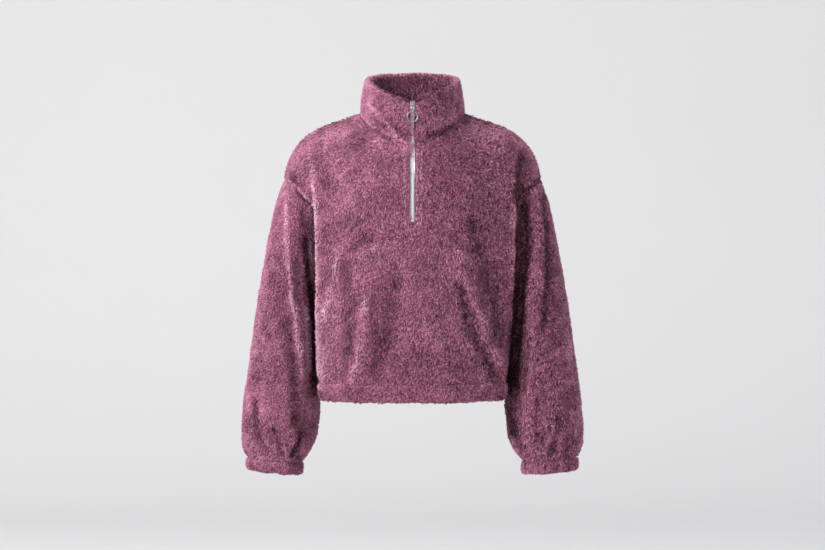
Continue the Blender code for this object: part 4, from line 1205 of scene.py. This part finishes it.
def area_light(name, place, target, size, power):
    """A soft square lamp that faces the target."""
    data = bpy.data.lights.new(name, "AREA")
    data.shape = "SQUARE"
    data.size = size
    data.energy = power
    lamp = linked(name, data)
    lamp.location = place
    lamp.rotation_euler = (Vector(target) - Vector(place)).to_track_quat("-Z", "Y").to_euler()


def backdrop():
    """A floor that curves up into a low wall well behind the garment."""
    work = bmesh.new()
    profile = [(FLOOR_FRONT, FLOOR_HEIGHT)]
    for step in range(13):
        turn = math.pi / 2 * step / 12
        profile.append((CURVE_START + CURVE_RADIUS * math.sin(turn),
                        FLOOR_HEIGHT + CURVE_RADIUS * (1 - math.cos(turn))))
    profile.append((CURVE_START + CURVE_RADIUS, WALL_TOP))
    left, right = ([work.verts.new((x, y, z)) for y, z in profile] for x in (-FLOOR_HALF, FLOOR_HALF))
    for k in range(len(profile) - 1):
        work.faces.new((left[k], right[k], right[k + 1], left[k + 1]))
    return smooth_piece("studio_floor", work, made_once("pale_floor", floor_finish))


class GARMENT_OT_stage(bpy.types.Operator):
    """Sets the floor, the soft lamps, the daylight and the camera"""

    bl_idname = "garment.stage"
    bl_label = "Stage"

    def execute(self, context):
        backdrop()
        for lamp in LAMPS:
            area_light(*lamp)
        context.scene.view_settings.view_transform = "Standard"
        world = bpy.data.worlds.new("soft_daylight")
        world.use_nodes = True
        sky = world.node_tree.nodes["Background"]
        sky.inputs["Color"].default_value = DAYLIGHT
        sky.inputs["Strength"].default_value = DAYLIGHT_STRENGTH
        context.scene.world = world
        lens = bpy.data.cameras.new("photo_camera")
        lens.lens = CAMERA_LENS
        lens.sensor_width = 36.0
        lens.clip_end = 100.0
        camera = linked("photo_camera", lens)
        back = Vector((0, -math.cos(CAMERA_ELEVATION), math.sin(CAMERA_ELEVATION)))
        camera.location = Vector(CAMERA_TARGET) + back * CAMERA_DISTANCE
        camera.rotation_euler = (-back).to_track_quat("-Z", "Y").to_euler()
        context.scene.camera = camera
        return {"FINISHED"}


class GARMENT_PT_sidebar(bpy.types.Panel):
    """The sidebar's list of steps and sizes"""

    bl_idname = "GARMENT_PT_sidebar"
    bl_label = "Fleece top"
    bl_space_type = "VIEW_3D"
    bl_region_type = "UI"
    bl_category = "Fleece top"

    def draw(self, context):
        for step in STEPS:
            self.layout.operator(step.bl_idname)
        for group in (context.scene.top_sizes, context.scene.top_colours):
            box = self.layout.box()
            for name in group.bl_rna.properties.keys():
                if name not in ("rna_type", "name"):
                    box.prop(group, name)


STEPS = (GARMENT_OT_stage, GARMENT_OT_panels, GARMENT_OT_sleeves, GARMENT_OT_collar, GARMENT_OT_casings,
         GARMENT_OT_zip, GARMENT_OT_stitching)
GROUPS = (TopSizes, TopColours)


def register():
    for kind in GROUPS + STEPS + (GARMENT_PT_sidebar,):
        bpy.utils.register_class(kind)
    bpy.types.Scene.top_sizes = bpy.props.PointerProperty(type=TopSizes)
    bpy.types.Scene.top_colours = bpy.props.PointerProperty(type=TopColours)


def unregister():
    del bpy.types.Scene.top_colours
    del bpy.types.Scene.top_sizes
    for kind in reversed(GROUPS + STEPS + (GARMENT_PT_sidebar,)):
        bpy.utils.unregister_class(kind)


def main():
    """Runs every step in order."""
    register()
    for step in STEPS:
        group, name = step.bl_idname.split(".")
        getattr(getattr(bpy.ops, group), name)()


if __name__ == "__main__":
    main()
